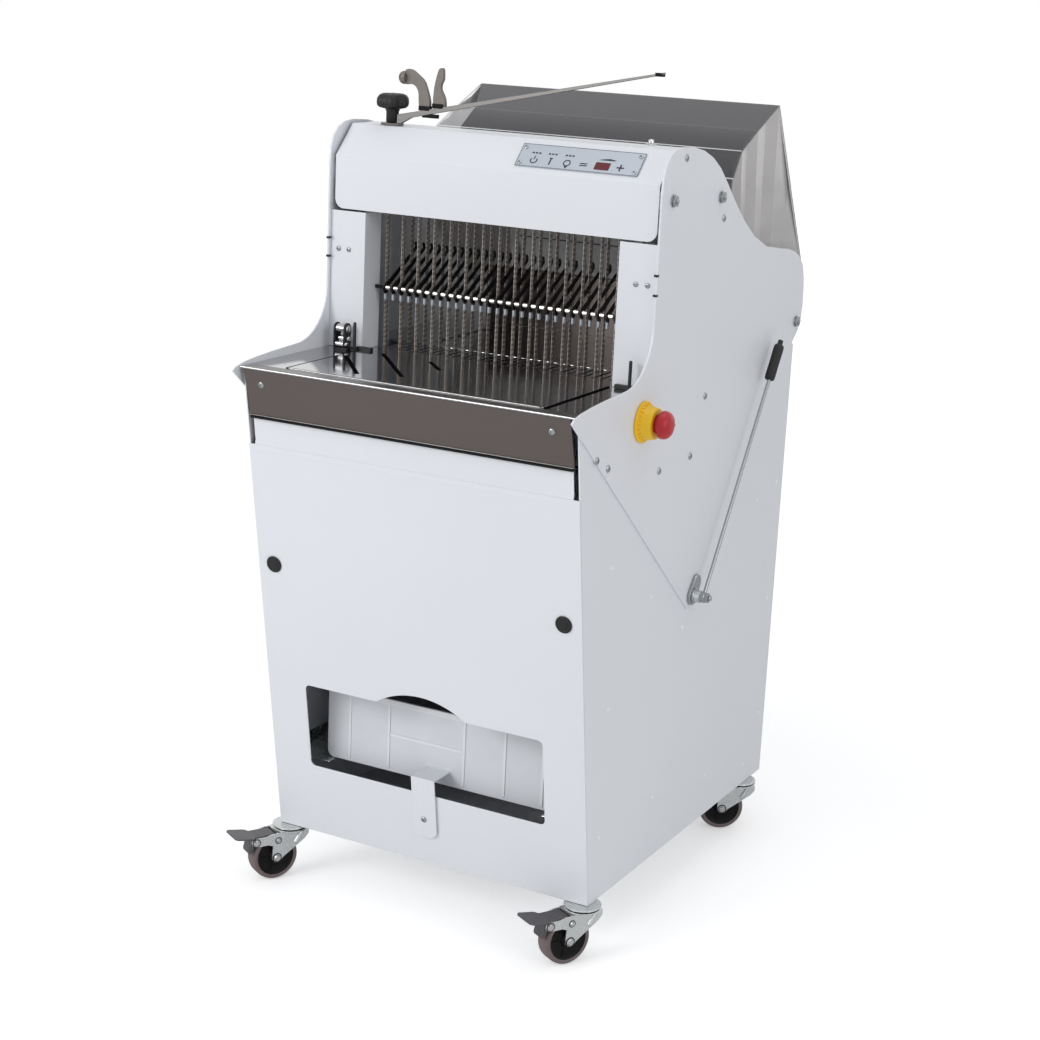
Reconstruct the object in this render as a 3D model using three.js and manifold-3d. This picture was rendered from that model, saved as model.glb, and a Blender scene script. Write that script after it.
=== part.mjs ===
// A floor-standing bread slicer on casters, with two blade frames, a feed lever and a rear cover.
// Millimetres. x runs across the machine, y from the foot of the front panel to the rear, z up from the floor.
import * as THREE from "three";
import { mergeVertices } from "three/addons/utils/BufferGeometryUtils.js";
import Module from "manifold-3d";

const wasm = await Module();
wasm.setup();

// Cabinet
const cabinetWidth = 540;
const cabinetDepth = 650;
const skirtHeight = 86;
const panelThickness = 2;
const frontLeanShare = 0.1543;

// Table and slicing bay
const tableHeight = 828.5;
const tableThickness = 2.5;
const tableFront = -121.5;
const bayWidth = 420;
const bayHeight = 208.5;
const columnFront = 106;
const columnBack = 150;
const hoodBottom = tableHeight + bayHeight;
const hoodFaceHeight = 78;
const slopeDepth = 43;
const slopeHeight = 45;
const slopeFoot = hoodBottom + hoodFaceHeight;
const hoodTop = slopeFoot + slopeHeight;

// Blades and their drive
const bladePitch = 13.85;
const bladeCount = 30;
const bladeStroke = 20;
const barDepth = 20;
const barHeight = 24;
const crankDepth = 180;
const crankHeight = 560;
const crankShaftRadius = 12;
const lowerBarDrop = 41.5;
const upperBarLift = 40;
const lowerBarHeight = tableHeight - lowerBarDrop;
const upperBarHeight = hoodBottom + upperBarLift;

// Feed lever and pusher
const leverDepth = 292;
const leverDrop = 341.5;
const leverHeight = tableHeight - leverDrop;
const leverShaftRadius = 10;
const shaftEnd = 290;
const leverReach = 435;
const leverLean = THREE.MathUtils.degToRad(33.5);
const feedArmReach = 220;
const feedArmLean = THREE.MathUtils.degToRad(30);
const feedArmCentre = 150;
const feedArmThickness = 10;
const feedPinRadius = 8;
const pusherFront = 472;
const forkCentre = 163;
const forkThickness = 6;

// Upper side plates and tie bars
const plateThickness = 3;
const tieRadius = 5;
const frontTieDepth = 136;
const frontTieDrop = 22;
const frontTieHeight = slopeFoot - frontTieDrop;
const rearTieDepth = 303;
const rearTieDrop = 28;
const rearTieHeight = slopeFoot - rearTieDrop;
const hingeTieInset = 7;
const hingeTieLift = 35.5;
const hingeTieDepth = cabinetDepth - hingeTieInset;
const hingeTieHeight = tableHeight + hingeTieLift;

// Hold-down comb
const combDepth = 139;
const combLift = 93.5;
const combHeight = tableHeight + combLift;

// Casters
const swivelAcross = 258;
const frontSwivelDepth = 8;
const rearSwivelInset = 60;
const rearSwivelDepth = cabinetDepth - rearSwivelInset;
const wheelRadius = 37.5;
const wheelWidth = 26;
const casterTrail = 30;

// Clearances
const fitGap = 0.3;
const runningGap = 0.5;
const cutOverrun = 5;

// Steps of round shapes
const curveSteps = 5;
const cornerSteps = 3;
const barSides = 6;
const holeSides = 8;
const roundSides = 12;
const wheelSides = 16;
const pulleySides = 16;

// Places that several pieces share
const halfCabinet = cabinetWidth / 2;
const panelInner = halfCabinet - panelThickness;
const insidePanels = panelInner - fitGap;
const plateInner = halfCabinet + fitGap;
const plateOuter = plateInner + plateThickness;
const tableUnder = tableHeight - tableThickness;
const panelTop = tableUnder - fitGap;
const halfBay = bayWidth / 2;
const leanAngle = Math.atan(frontLeanShare);
const frontFrameDepth = crankDepth - bladeStroke;
const rearFrameDepth = crankDepth + bladeStroke;
const bladeSlotFront = frontFrameDepth - barDepth / 2 - cutOverrun;
const bladeSlotBack = rearFrameDepth + barDepth / 2 + cutOverrun;

const xAxis = new THREE.Vector3(1, 0, 0);
const yAxis = new THREE.Vector3(0, 1, 0);
const zAxis = new THREE.Vector3(0, 0, 1);

// Front face of the leaning front panel at a height
function frontAt(height) {
  return -(height - skirtHeight) * frontLeanShare;
}

// Distance up the leaning front panel to a height
function upSlope(height) {
  return (height - skirtHeight) / Math.cos(leanAngle);
}

// Closed outline from a list of points
function polygon(points) {
  return new THREE.Shape(points.map(([a, b]) => new THREE.Vector2(a, b)));
}

// Radius of a many-sided bore whose flats stay outside a round radius
function boreFor(radius) {
  return radius / Math.cos(Math.PI / roundSides);
}

// Round hole that clears a bar of the given radius
function circle(a, b, radius) {
  const corner = radius / Math.cos(Math.PI / holeSides);
  const points = [];
  for (let index = 0; index < holeSides; index += 1) {
    const angle = ((index + 0.5) / holeSides) * 2 * Math.PI;
    points.push(new THREE.Vector2(a + corner * Math.cos(angle), b + corner * Math.sin(angle)));
  }
  return new THREE.Path(points);
}

// Rectangle with rounded corners
function roundedRectangle(left, bottom, right, top, radius) {
  const shape = new THREE.Shape();
  shape.absarc(right - radius, bottom + radius, radius, -Math.PI / 2, 0, false);
  shape.absarc(right - radius, top - radius, radius, 0, Math.PI / 2, false);
  shape.absarc(left + radius, top - radius, radius, Math.PI / 2, Math.PI, false);
  shape.absarc(left + radius, bottom + radius, radius, Math.PI, 1.5 * Math.PI, false);
  shape.closePath();
  return shape;
}

// Outline of a bent sheet: its outer line, and that line moved to its right by the thickness
function bentSheet(points, thickness) {
  const corners = points.map(([a, b]) => new THREE.Vector2(a, b));
  const inner = corners.map((corner, i) => {
    const before = corners[Math.max(i - 1, 0)];
    const after = corners[Math.min(i + 1, corners.length - 1)];
    const arriving = (i === 0 ? after.clone().sub(corner) : corner.clone().sub(before)).normalize();
    const leaving = (i === corners.length - 1 ? arriving.clone() : after.clone().sub(corner)).normalize();
    const normal = new THREE.Vector2(arriving.y, -arriving.x);
    const nextNormal = new THREE.Vector2(leaving.y, -leaving.x);
    const mitre = normal.clone().add(nextNormal).divideScalar(1 + normal.dot(nextNormal));
    return corner.clone().addScaledVector(mitre, thickness);
  });
  return new THREE.Shape([...corners, ...inner.reverse()]);
}

// Link with two round ends, in the (y, z) plane
function linkOutline(fromY, fromZ, fromRadius, toY, toZ, toRadius) {
  const along = Math.atan2(toZ - fromZ, toY - fromY);
  const shape = new THREE.Shape();
  shape.absarc(toY, toZ, toRadius, along - Math.PI / 2, along + Math.PI / 2, false);
  shape.absarc(fromY, fromZ, fromRadius, along + Math.PI / 2, along + 1.5 * Math.PI, false);
  shape.closePath();
  return shape;
}

function extruded(outline, depth, steps) {
  return new THREE.ExtrudeGeometry(outline, { depth, bevelEnabled: false, curveSegments: steps });
}

// Outline in the (y, z) plane, carried across from one x to another
function across(outline, from, to, steps = curveSteps) {
  const geometry = extruded(outline, to - from, steps);
  geometry.applyMatrix4(new THREE.Matrix4().makeBasis(yAxis, zAxis, xAxis));
  return geometry.translate(from, 0, 0);
}

// Outline in the (x, y) plane, carried up from one z to another
function upward(outline, from, to, steps = curveSteps) {
  return extruded(outline, to - from, steps).translate(0, 0, from);
}

// Outline in the (x, z) plane, carried back from one y to another
function backward(outline, from, to, steps = curveSteps) {
  const geometry = extruded(outline, to - from, steps);
  geometry.applyMatrix4(new THREE.Matrix4().makeBasis(xAxis, zAxis, yAxis.clone().negate()));
  return geometry.translate(0, to, 0);
}

// Block between two places on each axis
function block([left, right], [front, back], [bottom, top]) {
  const geometry = new THREE.BoxGeometry(right - left, back - front, top - bottom);
  return geometry.translate((left + right) / 2, (front + back) / 2, (bottom + top) / 2);
}

// Round bar along x, through (y, z)
function barAcross(radius, from, to, y, z, sides = roundSides) {
  const geometry = new THREE.CylinderGeometry(radius, radius, to - from, sides);
  return geometry.rotateZ(-Math.PI / 2).translate((from + to) / 2, y, z);
}

// Round bar along z, through (x, y)
function barUp(radius, from, to, x, y, sides = roundSides) {
  const geometry = new THREE.CylinderGeometry(radius, radius, to - from, sides);
  return geometry.rotateX(Math.PI / 2).translate(x, y, (from + to) / 2);
}

// Turned form about the x axis; the profile lists (radius, x)
function turnedAcross(profile, sides = roundSides) {
  const points = profile.map(([radius, along]) => new THREE.Vector2(radius, along));
  return new THREE.LatheGeometry(points, sides).rotateZ(-Math.PI / 2);
}

// Turned form about the z axis; the profile lists (radius, z)
function turnedUp(profile, sides = roundSides) {
  const points = profile.map(([radius, along]) => new THREE.Vector2(radius, along));
  return new THREE.LatheGeometry(points, sides).rotateX(Math.PI / 2);
}

function solidOf(geometry) {
  const bare = geometry.clone();
  bare.deleteAttribute("normal");
  bare.deleteAttribute("uv");
  const merged = mergeVertices(bare);
  const vertProperties = new Float32Array(merged.attributes.position.array);
  const triVerts = new Uint32Array(merged.index.array);
  return new wasm.Manifold(new wasm.Mesh({ numProp: 3, vertProperties, triVerts }));
}

function geometryOf(solid) {
  const mesh = solid.getMesh();
  const indexed = new THREE.BufferGeometry();
  indexed.setAttribute("position", new THREE.BufferAttribute(mesh.vertProperties, 3));
  indexed.setIndex(new THREE.BufferAttribute(mesh.triVerts, 1));
  const faceted = indexed.toNonIndexed();
  faceted.computeVertexNormals();
  return faceted;
}

function joined(...geometries) {
  return geometryOf(geometries.map(solidOf).reduce((whole, piece) => whole.add(piece)));
}

function cut(geometry, ...tools) {
  return geometryOf(tools.map(solidOf).reduce((rest, tool) => rest.subtract(tool), solidOf(geometry)));
}

function common(geometry, other) {
  return geometryOf(solidOf(geometry).intersect(solidOf(other)));
}

// Finishes
function finish(color, roughness, metalness, opacity = 1) {
  return new THREE.MeshStandardMaterial({ color, roughness, metalness, opacity, transparent: opacity < 1 });
}
const whitePaint = () => finish(0xe4e7ee, 0.45, 0);
const brushedSteel = () => finish(0x6f6a66, 0.35, 1);
const polishedSteel = () => finish(0xc8c9cb, 0.12, 1);
const zincSteel = () => finish(0xa9adb0, 0.4, 1);
const darkSteel = () => finish(0x5b5856, 0.4, 1);
const blackPlastic = () => finish(0x151517, 0.5, 0);
const greyPlastic = () => finish(0xc9ccd2, 0.5, 0);
const castGrey = () => finish(0x6d7073, 0.6, 0.6);
const tyreGrey = () => finish(0x3a3537, 0.7, 0);
const safetyYellow = () => finish(0xf2c500, 0.4, 0);
const safetyRed = () => finish(0xc9142b, 0.35, 0);
const smokedPlastic = () => finish(0x55585e, 0.1, 0, 0.6);
const beltBlack = () => finish(0x1b1b1b, 0.8, 0);

const machine = new THREE.Group();

function add(name, geometry, material, parent = machine) {
  const mesh = new THREE.Mesh(geometry, material);
  mesh.name = name;
  parent.add(mesh);
  return mesh;
}

// The same piece on the right side and, mirrored, on the left
function addPair(name, geometry, finishOf) {
  add(name + "_right", geometry, finishOf());
  add(name + "_left", geometry.clone(), finishOf()).scale.x = -1;
}

// Cabinet base: a tray that the casters bear on
function basePlate() {
  const lipHeight = 18;
  const sheet = 3;
  const front = frontAt(skirtHeight + lipHeight) + panelThickness / Math.cos(leanAngle) + lipHeight / 2;
  const back = cabinetDepth - panelThickness - fitGap;
  const line = [[front, skirtHeight + lipHeight], [front, skirtHeight], [back, skirtHeight], [back, skirtHeight + lipHeight]];
  return across(bentSheet(line, -sheet), -insidePanels, insidePanels);
}

// Cabinet side with the turned-in lips that carry the tables
function sidePanel() {
  const lip = 15;
  const inset = panelThickness / Math.cos(leanAngle) + fitGap;
  const outline = polygon([
    [frontAt(skirtHeight) + inset, skirtHeight],
    [cabinetDepth, skirtHeight],
    [cabinetDepth, panelTop],
    [frontAt(panelTop) + inset, panelTop],
  ]);
  outline.holes.push(circle(leverDepth, leverHeight, leverShaftRadius + fitGap));
  const sheet = across(outline, panelInner, halfCabinet);
  const lipAcross = [panelInner - lip, halfCabinet];
  const lipHeights = [panelTop - panelThickness, panelTop];
  const frontLip = block(lipAcross, [frontAt(panelTop) + lip, bladeSlotFront], lipHeights);
  const rearLip = block(lipAcross, [bladeSlotBack, cabinetDepth - lip], lipHeights);
  return joined(sheet, frontLip, rearLip);
}

// Leaning front panel: a window with an arch, two plug holes and a narrower top strip
const windowSill = 202;
const windowTop = 338;
const windowHalfWidth = 203;
const plugAcross = 242;
const plugHeight = 527;
const plugBore = 10;
function frontPanel() {
  const stripHalfWidth = 260;
  const stripHeight = 42;
  const panelDrop = 74.5;
  const panelHeight = tableHeight - panelDrop;
  const archHalfWidth = 75;
  const archRise = 24;
  const corner = 8;
  const fold = 12;
  const sill = upSlope(windowSill);
  const head = upSlope(windowTop);
  const strip = upSlope(panelHeight - stripHeight);
  const top = upSlope(panelHeight);
  const outline = polygon([
    [-halfCabinet, 0],
    [halfCabinet, 0],
    [halfCabinet, strip],
    [stripHalfWidth, strip],
    [stripHalfWidth, top],
    [-stripHalfWidth, top],
    [-stripHalfWidth, strip],
    [-halfCabinet, strip],
  ]);
  const opening = new THREE.Path();
  opening.absarc(windowHalfWidth - corner, sill + corner, corner, -Math.PI / 2, 0, false);
  opening.absarc(windowHalfWidth - corner, head - corner, corner, 0, Math.PI / 2, false);
  opening.lineTo(archHalfWidth, head);
  opening.quadraticCurveTo(0, head + 2 * archRise, -archHalfWidth, head);
  opening.absarc(corner - windowHalfWidth, head - corner, corner, Math.PI / 2, Math.PI, false);
  opening.absarc(corner - windowHalfWidth, sill + corner, corner, Math.PI, 1.5 * Math.PI, false);
  opening.closePath();
  outline.holes.push(opening);
  outline.holes.push(circle(plugAcross, upSlope(plugHeight), plugBore));
  outline.holes.push(circle(-plugAcross, upSlope(plugHeight), plugBore));
  const sheet = upward(outline, -panelThickness, 0, cornerSteps);
  const foldHeights = [-panelThickness - fold, -panelThickness / 2];
  const foldUp = [2 * fold, strip - fold];
  const rightFold = block([insidePanels - panelThickness, insidePanels], foldUp, foldHeights);
  const leftFold = block([-insidePanels, panelThickness - insidePanels], foldUp, foldHeights);
  return joined(sheet, rightFold, leftFold);
}

// Round plug: a thin domed head over the panel and a stem in its hole
function plug() {
  const headRadius = 13;
  const headHeight = 3;
  const stem = 6;
  const stemRadius = plugBore - fitGap;
  return turnedUp([
    [0, -stem],
    [stemRadius, -stem],
    [stemRadius, fitGap],
    [headRadius, fitGap],
    [headRadius, headHeight / 2],
    [headRadius * 0.8, headHeight],
    [0, headHeight],
  ]);
}

// Rear panel with two columns of vent slots
function rearPanel() {
  const ventWidth = 120;
  const ventHeight = 8;
  const ventPitch = 20;
  const ventRows = 6;
  const ventBottom = 180;
  const ventCentre = 110;
  const sheet = [cabinetDepth - panelThickness, cabinetDepth];
  const through = [sheet[0] - cutOverrun, sheet[1] + cutOverrun];
  const vents = [];
  for (const side of [-1, 1]) {
    for (let row = 0; row < ventRows; row += 1) {
      const ventAcross = [side * ventCentre - ventWidth / 2, side * ventCentre + ventWidth / 2];
      const bottom = ventBottom + row * ventPitch;
      vents.push(block(ventAcross, through, [bottom, bottom + ventHeight]));
    }
  }
  return cut(block([-insidePanels, insidePanels], sheet, [skirtHeight, panelTop]), ...vents);
}

// Upper side plate: low nose in front, concave rise to the upright edge, dome, long fall to the rear and
// a pointed lower end round the lever's pivot
const noseReach = 14.5;
const domeOver = 5;
const columnLap = 6;
const plateNose = tableFront - noseReach;
const plateTop = hoodTop + domeOver;
const plateFront = columnFront - columnLap;
function upperPlate() {
  const tipRadius = 22;
  const noseDepth = 44;
  const noseDrop = 120.5;
  const noseUnder = 5.5;
  const shelfOver = 13.5;
  const heelInset = 3;
  const heelDrop = 30;
  const noseLow = [plateNose + noseDepth, tableHeight - noseDrop];
  const noseHigh = [plateNose, tableHeight - noseUnder];
  const shelf = tableHeight + shelfOver;
  const riseRadius = 80;
  const domeRadius = 60;
  const rearLow = [hingeTieDepth - heelInset, hingeTieHeight - heelDrop];
  const shareOf = ([along, up]) => [
    rearTieDepth + along * (hingeTieDepth - rearTieDepth),
    leverHeight + up * (plateTop - leverHeight),
  ];
  const fallShares = [
    [-0.228, 1],
    [-0.074, 0.978],
    [0.064, 0.912],
    [0.211, 0.85],
    [0.413, 0.744],
    [0.755, 0.741],
    [0.907, 0.735],
    [1.047, 0.715],
    [1.066, 0.66],
    [1.09, 0.6],
    [1.097, 0.54],
  ];
  const [crestA, crestB, bend, fallA, fallB, shoulder, roundA, roundB, corner, rearA, rearB] = fallShares.map(shareOf);
  const leftEdge = Math.atan2(leverHeight - noseLow[1], leverDepth - noseLow[0]) - Math.PI / 2;
  const rightEdge = Math.atan2(rearLow[1] - leverHeight, rearLow[0] - leverDepth) - Math.PI / 2;
  const shape = new THREE.Shape();
  shape.moveTo(...noseLow);
  shape.absarc(leverDepth, leverHeight, tipRadius, leftEdge, rightEdge, false);
  shape.lineTo(...rearLow);
  shape.bezierCurveTo(...rearB, ...rearA, ...corner);
  shape.bezierCurveTo(...roundB, ...roundA, ...shoulder);
  shape.bezierCurveTo(...fallB, ...fallA, ...bend);
  shape.bezierCurveTo(...crestB, ...crestA, plateFront + domeRadius, plateTop);
  shape.quadraticCurveTo(plateFront, plateTop, plateFront, plateTop - domeRadius);
  shape.absarc(plateFront - riseRadius, shelf + riseRadius, riseRadius, 0, -Math.PI / 2, true);
  shape.quadraticCurveTo(plateNose, shelf - 2 * plateThickness, ...noseHigh);
  shape.closePath();
  shape.holes.push(circle(leverDepth, leverHeight, leverShaftRadius + fitGap));
  shape.holes.push(circle(frontTieDepth, frontTieHeight, tieRadius + fitGap));
  shape.holes.push(circle(rearTieDepth, rearTieHeight, tieRadius + fitGap));
  shape.holes.push(circle(hingeTieDepth, hingeTieHeight, tieRadius + fitGap));
  return across(shape, plateInner, plateOuter);
}

// Tie bar through both plates, with a nut outside each
function tieBar(y, z) {
  const nutRadius = 9;
  const nutHeight = 7;
  const nutSides = 6;
  const nutFrom = plateOuter + fitGap;
  const end = nutFrom + nutHeight;
  const shoulder = plateInner - fitGap;
  const sleeveRadius = tieRadius + 2 * fitGap;
  return joined(
    barAcross(tieRadius, -end, end, y, z, holeSides),
    barAcross(sleeveRadius, -shoulder, shoulder, y, z, holeSides),
    barAcross(nutRadius, nutFrom, end, y, z, nutSides),
    barAcross(nutRadius, -end, -nutFrom, y, z, nutSides),
  );
}

// Front table: a plate whose rear edge runs between the blades as fingers
const gapCount = bladeCount - 1;
function gapCentre(index) {
  return (index - (gapCount - 1) / 2) * bladePitch;
}
function frontTable() {
  const fingerHalfWidth = 4.5;
  const fingerEnd = bladeSlotBack - fitGap;
  const points = [[-halfCabinet, tableFront], [halfCabinet, tableFront], [halfCabinet, bladeSlotFront]];
  for (let index = gapCount - 1; index >= 0; index -= 1) {
    const centre = gapCentre(index);
    points.push([centre + fingerHalfWidth, bladeSlotFront]);
    points.push([centre + fingerHalfWidth, fingerEnd]);
    points.push([centre - fingerHalfWidth, fingerEnd]);
    points.push([centre - fingerHalfWidth, bladeSlotFront]);
  }
  points.push([-halfCabinet, bladeSlotFront]);
  return upward(polygon(points), tableUnder, tableHeight);
}

// Polished inlay on the front table, with three slanted slots
function tableInlay() {
  const halfWidth = 207;
  const front = -95;
  const back = 100;
  const sheet = 1.2;
  const slotWidth = 5;
  const slotShares = [
    [-0.957, 0.713, -0.517, 0.154],
    [-0.797, 0.969, -0.229, 0.279],
    [-0.374, 0.923, -0.155, 0.682],
  ];
  const outline = roundedRectangle(-halfWidth, front, halfWidth, back, slotWidth);
  for (const [startAcross, startBack, endAcross, endBack] of slotShares) {
    const start = new THREE.Vector2(startAcross * halfWidth, front + startBack * (back - front));
    const end = new THREE.Vector2(endAcross * halfWidth, front + endBack * (back - front));
    const side = end.clone().sub(start).normalize().rotateAround(new THREE.Vector2(), Math.PI / 2);
    side.multiplyScalar(slotWidth / 2);
    const slot = [start.clone().add(side), start.clone().sub(side), end.clone().sub(side), end.clone().add(side)];
    outline.holes.push(new THREE.Path(slot));
  }
  const bottom = tableHeight + fitGap;
  return upward(outline, bottom, bottom + sheet, cornerSteps);
}

// Rear table with the two slots that the pusher's brackets run in
const bracketDepth = 15;
const plateToBracket = 3;
const feedTravel = 2 * feedArmReach * Math.sin(feedArmLean);
function rearTable() {
  const back = cabinetDepth - cutOverrun;
  const slotHalfWidth = forkThickness / 2 + 2;
  const slotFront = pusherFront + plateToBracket - feedTravel - cutOverrun;
  const slotBack = pusherFront + plateToBracket + bracketDepth + cutOverrun;
  const slotHeights = [tableUnder - cutOverrun, tableHeight + cutOverrun];
  const sheet = block([-halfCabinet, halfCabinet], [bladeSlotBack, back], [tableUnder, tableHeight]);
  const slots = [-1, 1].map((side) => {
    const slotAcross = [side * forkCentre - slotHalfWidth, side * forkCentre + slotHalfWidth];
    return block(slotAcross, [slotFront, slotBack], slotHeights);
  });
  return cut(sheet, ...slots);
}

// Fascia: a folded sheet under the front edge of the table
function fascia() {
  const halfWidth = 263;
  const faceHeight = 73.5;
  const setback = 19;
  const topFold = 20;
  const bottomFold = 14;
  const bottom = tableHeight - faceHeight;
  const foot = tableFront + setback;
  const line = [[foot + bottomFold, bottom], [foot, bottom], [tableFront, panelTop], [tableFront + topFold, panelTop]];
  return across(bentSheet(line, panelThickness), -halfWidth, halfWidth);
}

// Column beside the slicing bay: a folded channel, open to the rear
function column() {
  const outer = plateInner - fitGap;
  const topGap = 3;
  const line = [[halfBay, columnBack], [halfBay, columnFront], [outer, columnFront], [outer, columnBack]];
  return upward(bentSheet(line, -panelThickness), tableHeight + fitGap, hoodBottom - topGap);
}

// Hood: a front with rounded lower corners, a 45 degree slope, a flat crown and a rear fall
const hoodFront = 107;
const hoodHalfWidth = 265;
const earRadius = 11;
const earThickness = 7;
function hoodEar(tieDepth, tieHeight, points) {
  const outline = polygon(points);
  outline.holes.push(circle(tieDepth, tieHeight, tieRadius + 3 * fitGap));
  return across(outline, hoodHalfWidth - earThickness, hoodHalfWidth);
}
function hood() {
  const corner = 15;
  const crownDepth = 65;
  const fallDepth = 87;
  const fallHeight = 40;
  const endDepth = 44;
  const endHeight = 42;
  const crownFront = hoodFront + slopeDepth;
  const crownBack = crownFront + crownDepth;
  const fallBack = crownBack + fallDepth;
  const line = [
    [hoodFront, hoodBottom + corner],
    [hoodFront, slopeFoot],
    [crownFront, hoodTop],
    [crownBack, hoodTop],
    [fallBack, hoodTop - fallHeight],
    [fallBack + endDepth, hoodTop - fallHeight - endHeight],
  ];
  const shell = across(bentSheet(line, panelThickness), -hoodHalfWidth, hoodHalfWidth);
  const faceOutline = roundedRectangle(-hoodHalfWidth, hoodBottom, hoodHalfWidth, slopeFoot, corner);
  const face = backward(faceOutline, hoodFront, hoodFront + panelThickness, cornerSteps);
  const lowerHalf = block([-halfCabinet, halfCabinet], [0, columnBack], [hoodBottom, hoodBottom + 2 * corner]);
  const frontEar = hoodEar(frontTieDepth, frontTieHeight, [
    [hoodFront, frontTieHeight - earRadius],
    [frontTieDepth + earRadius, frontTieHeight - earRadius],
    [frontTieDepth + earRadius, frontTieHeight + earRadius],
    [hoodFront, frontTieHeight + earRadius],
  ]);
  const rearEar = hoodEar(rearTieDepth, rearTieHeight, [
    [rearTieDepth - earRadius, rearTieHeight - earRadius],
    [rearTieDepth + earRadius, rearTieHeight - earRadius],
    [rearTieDepth + earRadius, slopeFoot - 0.7 * earRadius],
    [fallBack, hoodTop - fallHeight - panelThickness / 2],
    [rearTieDepth - earRadius, slopeFoot + 0.8 * earRadius],
  ]);
  const toOtherEnd = earThickness - 2 * hoodHalfWidth;
  const ears = [frontEar, rearEar].flatMap((ear) => [ear, ear.clone().translate(toOtherEnd, 0, 0)]);
  return joined(shell, common(face, lowerHalf), ...ears);
}

// Control plate on the hood's slope
function controlPlate() {
  const left = 33;
  const right = 227;
  const height = 41;
  const corner = 4;
  const sheet = 1.5;
  const slope = Math.hypot(slopeDepth, slopeHeight);
  const bottom = (slope - height) / 2;
  const outline = roundedRectangle(left, bottom, right, bottom + height, corner);
  return upward(outline, fitGap, fitGap + sheet, cornerSteps);
}

// Blade: a thin strip between the two bars of its frame, ground to an edge along its rear
const bladeThickness = 0.8;
const bladeWidth = 13;
const bladeBevel = 3;
function blade(x, depth) {
  const front = depth - bladeWidth / 2;
  const back = depth + bladeWidth / 2;
  const half = bladeThickness / 2;
  const section = polygon([
    [x - half, front],
    [x + half, front],
    [x + half, back - bladeBevel],
    [x, back],
    [x - half, back - bladeBevel],
  ]);
  return upward(section, lowerBarHeight, upperBarHeight);
}

// Blade frame: two bars that run on the guide rods, two stiles, every other blade and the rod's lug
const guideAcross = 254;
const guideRadius = 6;
const barEnd = 264;
const rodInner = 228;
const rodThickness = 8;
const rodPinDrop = 30;
const rodPinHeight = lowerBarHeight - rodPinDrop;
const rodPinRadius = 6;
function bladeFrame(depth, firstBlade, lugSide) {
  const stileInner = 224;
  const stileOuter = 240;
  const stileDepth = 10;
  const lugInner = rodInner + rodThickness + 2;
  const lugThickness = 6;
  const lugRound = 12;
  const barRange = [depth - barDepth / 2, depth + barDepth / 2];
  const stileRange = [depth - stileDepth / 2, depth + stileDepth / 2];
  const pieces = [];
  for (const height of [lowerBarHeight, upperBarHeight]) {
    pieces.push(block([-barEnd, barEnd], barRange, [height - barHeight / 2, height + barHeight / 2]));
  }
  pieces.push(block([stileInner, stileOuter], stileRange, [lowerBarHeight, upperBarHeight]));
  pieces.push(block([-stileOuter, -stileInner], stileRange, [lowerBarHeight, upperBarHeight]));
  for (let index = firstBlade; index < bladeCount; index += 2) {
    const x = (index - (bladeCount - 1) / 2) * bladePitch;
    pieces.push(blade(x, depth));
  }
  const lug = linkOutline(depth, rodPinHeight, lugRound, depth, lowerBarHeight, barDepth / 2);
  const lugFrom = Math.min(lugSide * lugInner, lugSide * (lugInner + lugThickness));
  pieces.push(across(lug, lugFrom, lugFrom + lugThickness));
  const pinEnds = [lugSide * (rodInner - fitGap), lugSide * (lugInner + fitGap)];
  pieces.push(barAcross(rodPinRadius, Math.min(...pinEnds), Math.max(...pinEnds), depth, rodPinHeight));
  const bores = [];
  for (const side of [-1, 1]) {
    const bottom = lowerBarHeight - barHeight;
    bores.push(barUp(boreFor(guideRadius + fitGap), bottom, upperBarHeight + barHeight, side * guideAcross, depth));
  }
  return cut(joined(...pieces), ...bores);
}

// Connecting rod between a crank pin and a blade frame
const crankPinRadius = 7;
function connectingRod(depth, side) {
  const bigEnd = 15;
  const smallEnd = 13;
  const shank = 6;
  const from = Math.min(side * rodInner, side * (rodInner + rodThickness));
  const to = from + rodThickness;
  const lower = across(linkOutline(depth, crankHeight, bigEnd, depth, crankHeight, bigEnd), from, to);
  const upper = across(linkOutline(depth, rodPinHeight, smallEnd, depth, rodPinHeight, smallEnd), from, to);
  const web = block([from, to], [depth - shank, depth + shank], [crankHeight, rodPinHeight]);
  const boreEnds = [from - cutOverrun, to + cutOverrun];
  const pinBore = barAcross(boreFor(crankPinRadius + fitGap), ...boreEnds, depth, crankHeight);
  const topBore = barAcross(boreFor(rodPinRadius + fitGap), ...boreEnds, depth, rodPinHeight);
  return cut(joined(lower, web, upper), pinBore, topBore);
}

// Guide rods of one side, held by a block at each end
function guideRods() {
  const blockInner = 244;
  const blockHeight = 20;
  const lowerDrop = 75;
  const upperLift = 41;
  const lowerTop = lowerBarHeight - lowerDrop;
  const upperBottom = upperBarHeight + upperLift;
  const depthRange = [bladeSlotFront, bladeSlotBack];
  const top = upperBottom + blockHeight;
  const lowerBlock = block([blockInner, insidePanels], depthRange, [lowerTop - blockHeight, lowerTop]);
  const upperBlock = block([blockInner, plateInner - fitGap], depthRange, [upperBottom, top]);
  const middle = [lowerTop - blockHeight / 2, upperBottom + blockHeight / 2];
  const frontRod = barUp(guideRadius, ...middle, guideAcross, frontFrameDepth);
  const rearRod = barUp(guideRadius, ...middle, guideAcross, rearFrameDepth);
  return joined(lowerBlock, upperBlock, frontRod, rearRod);
}

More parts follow.
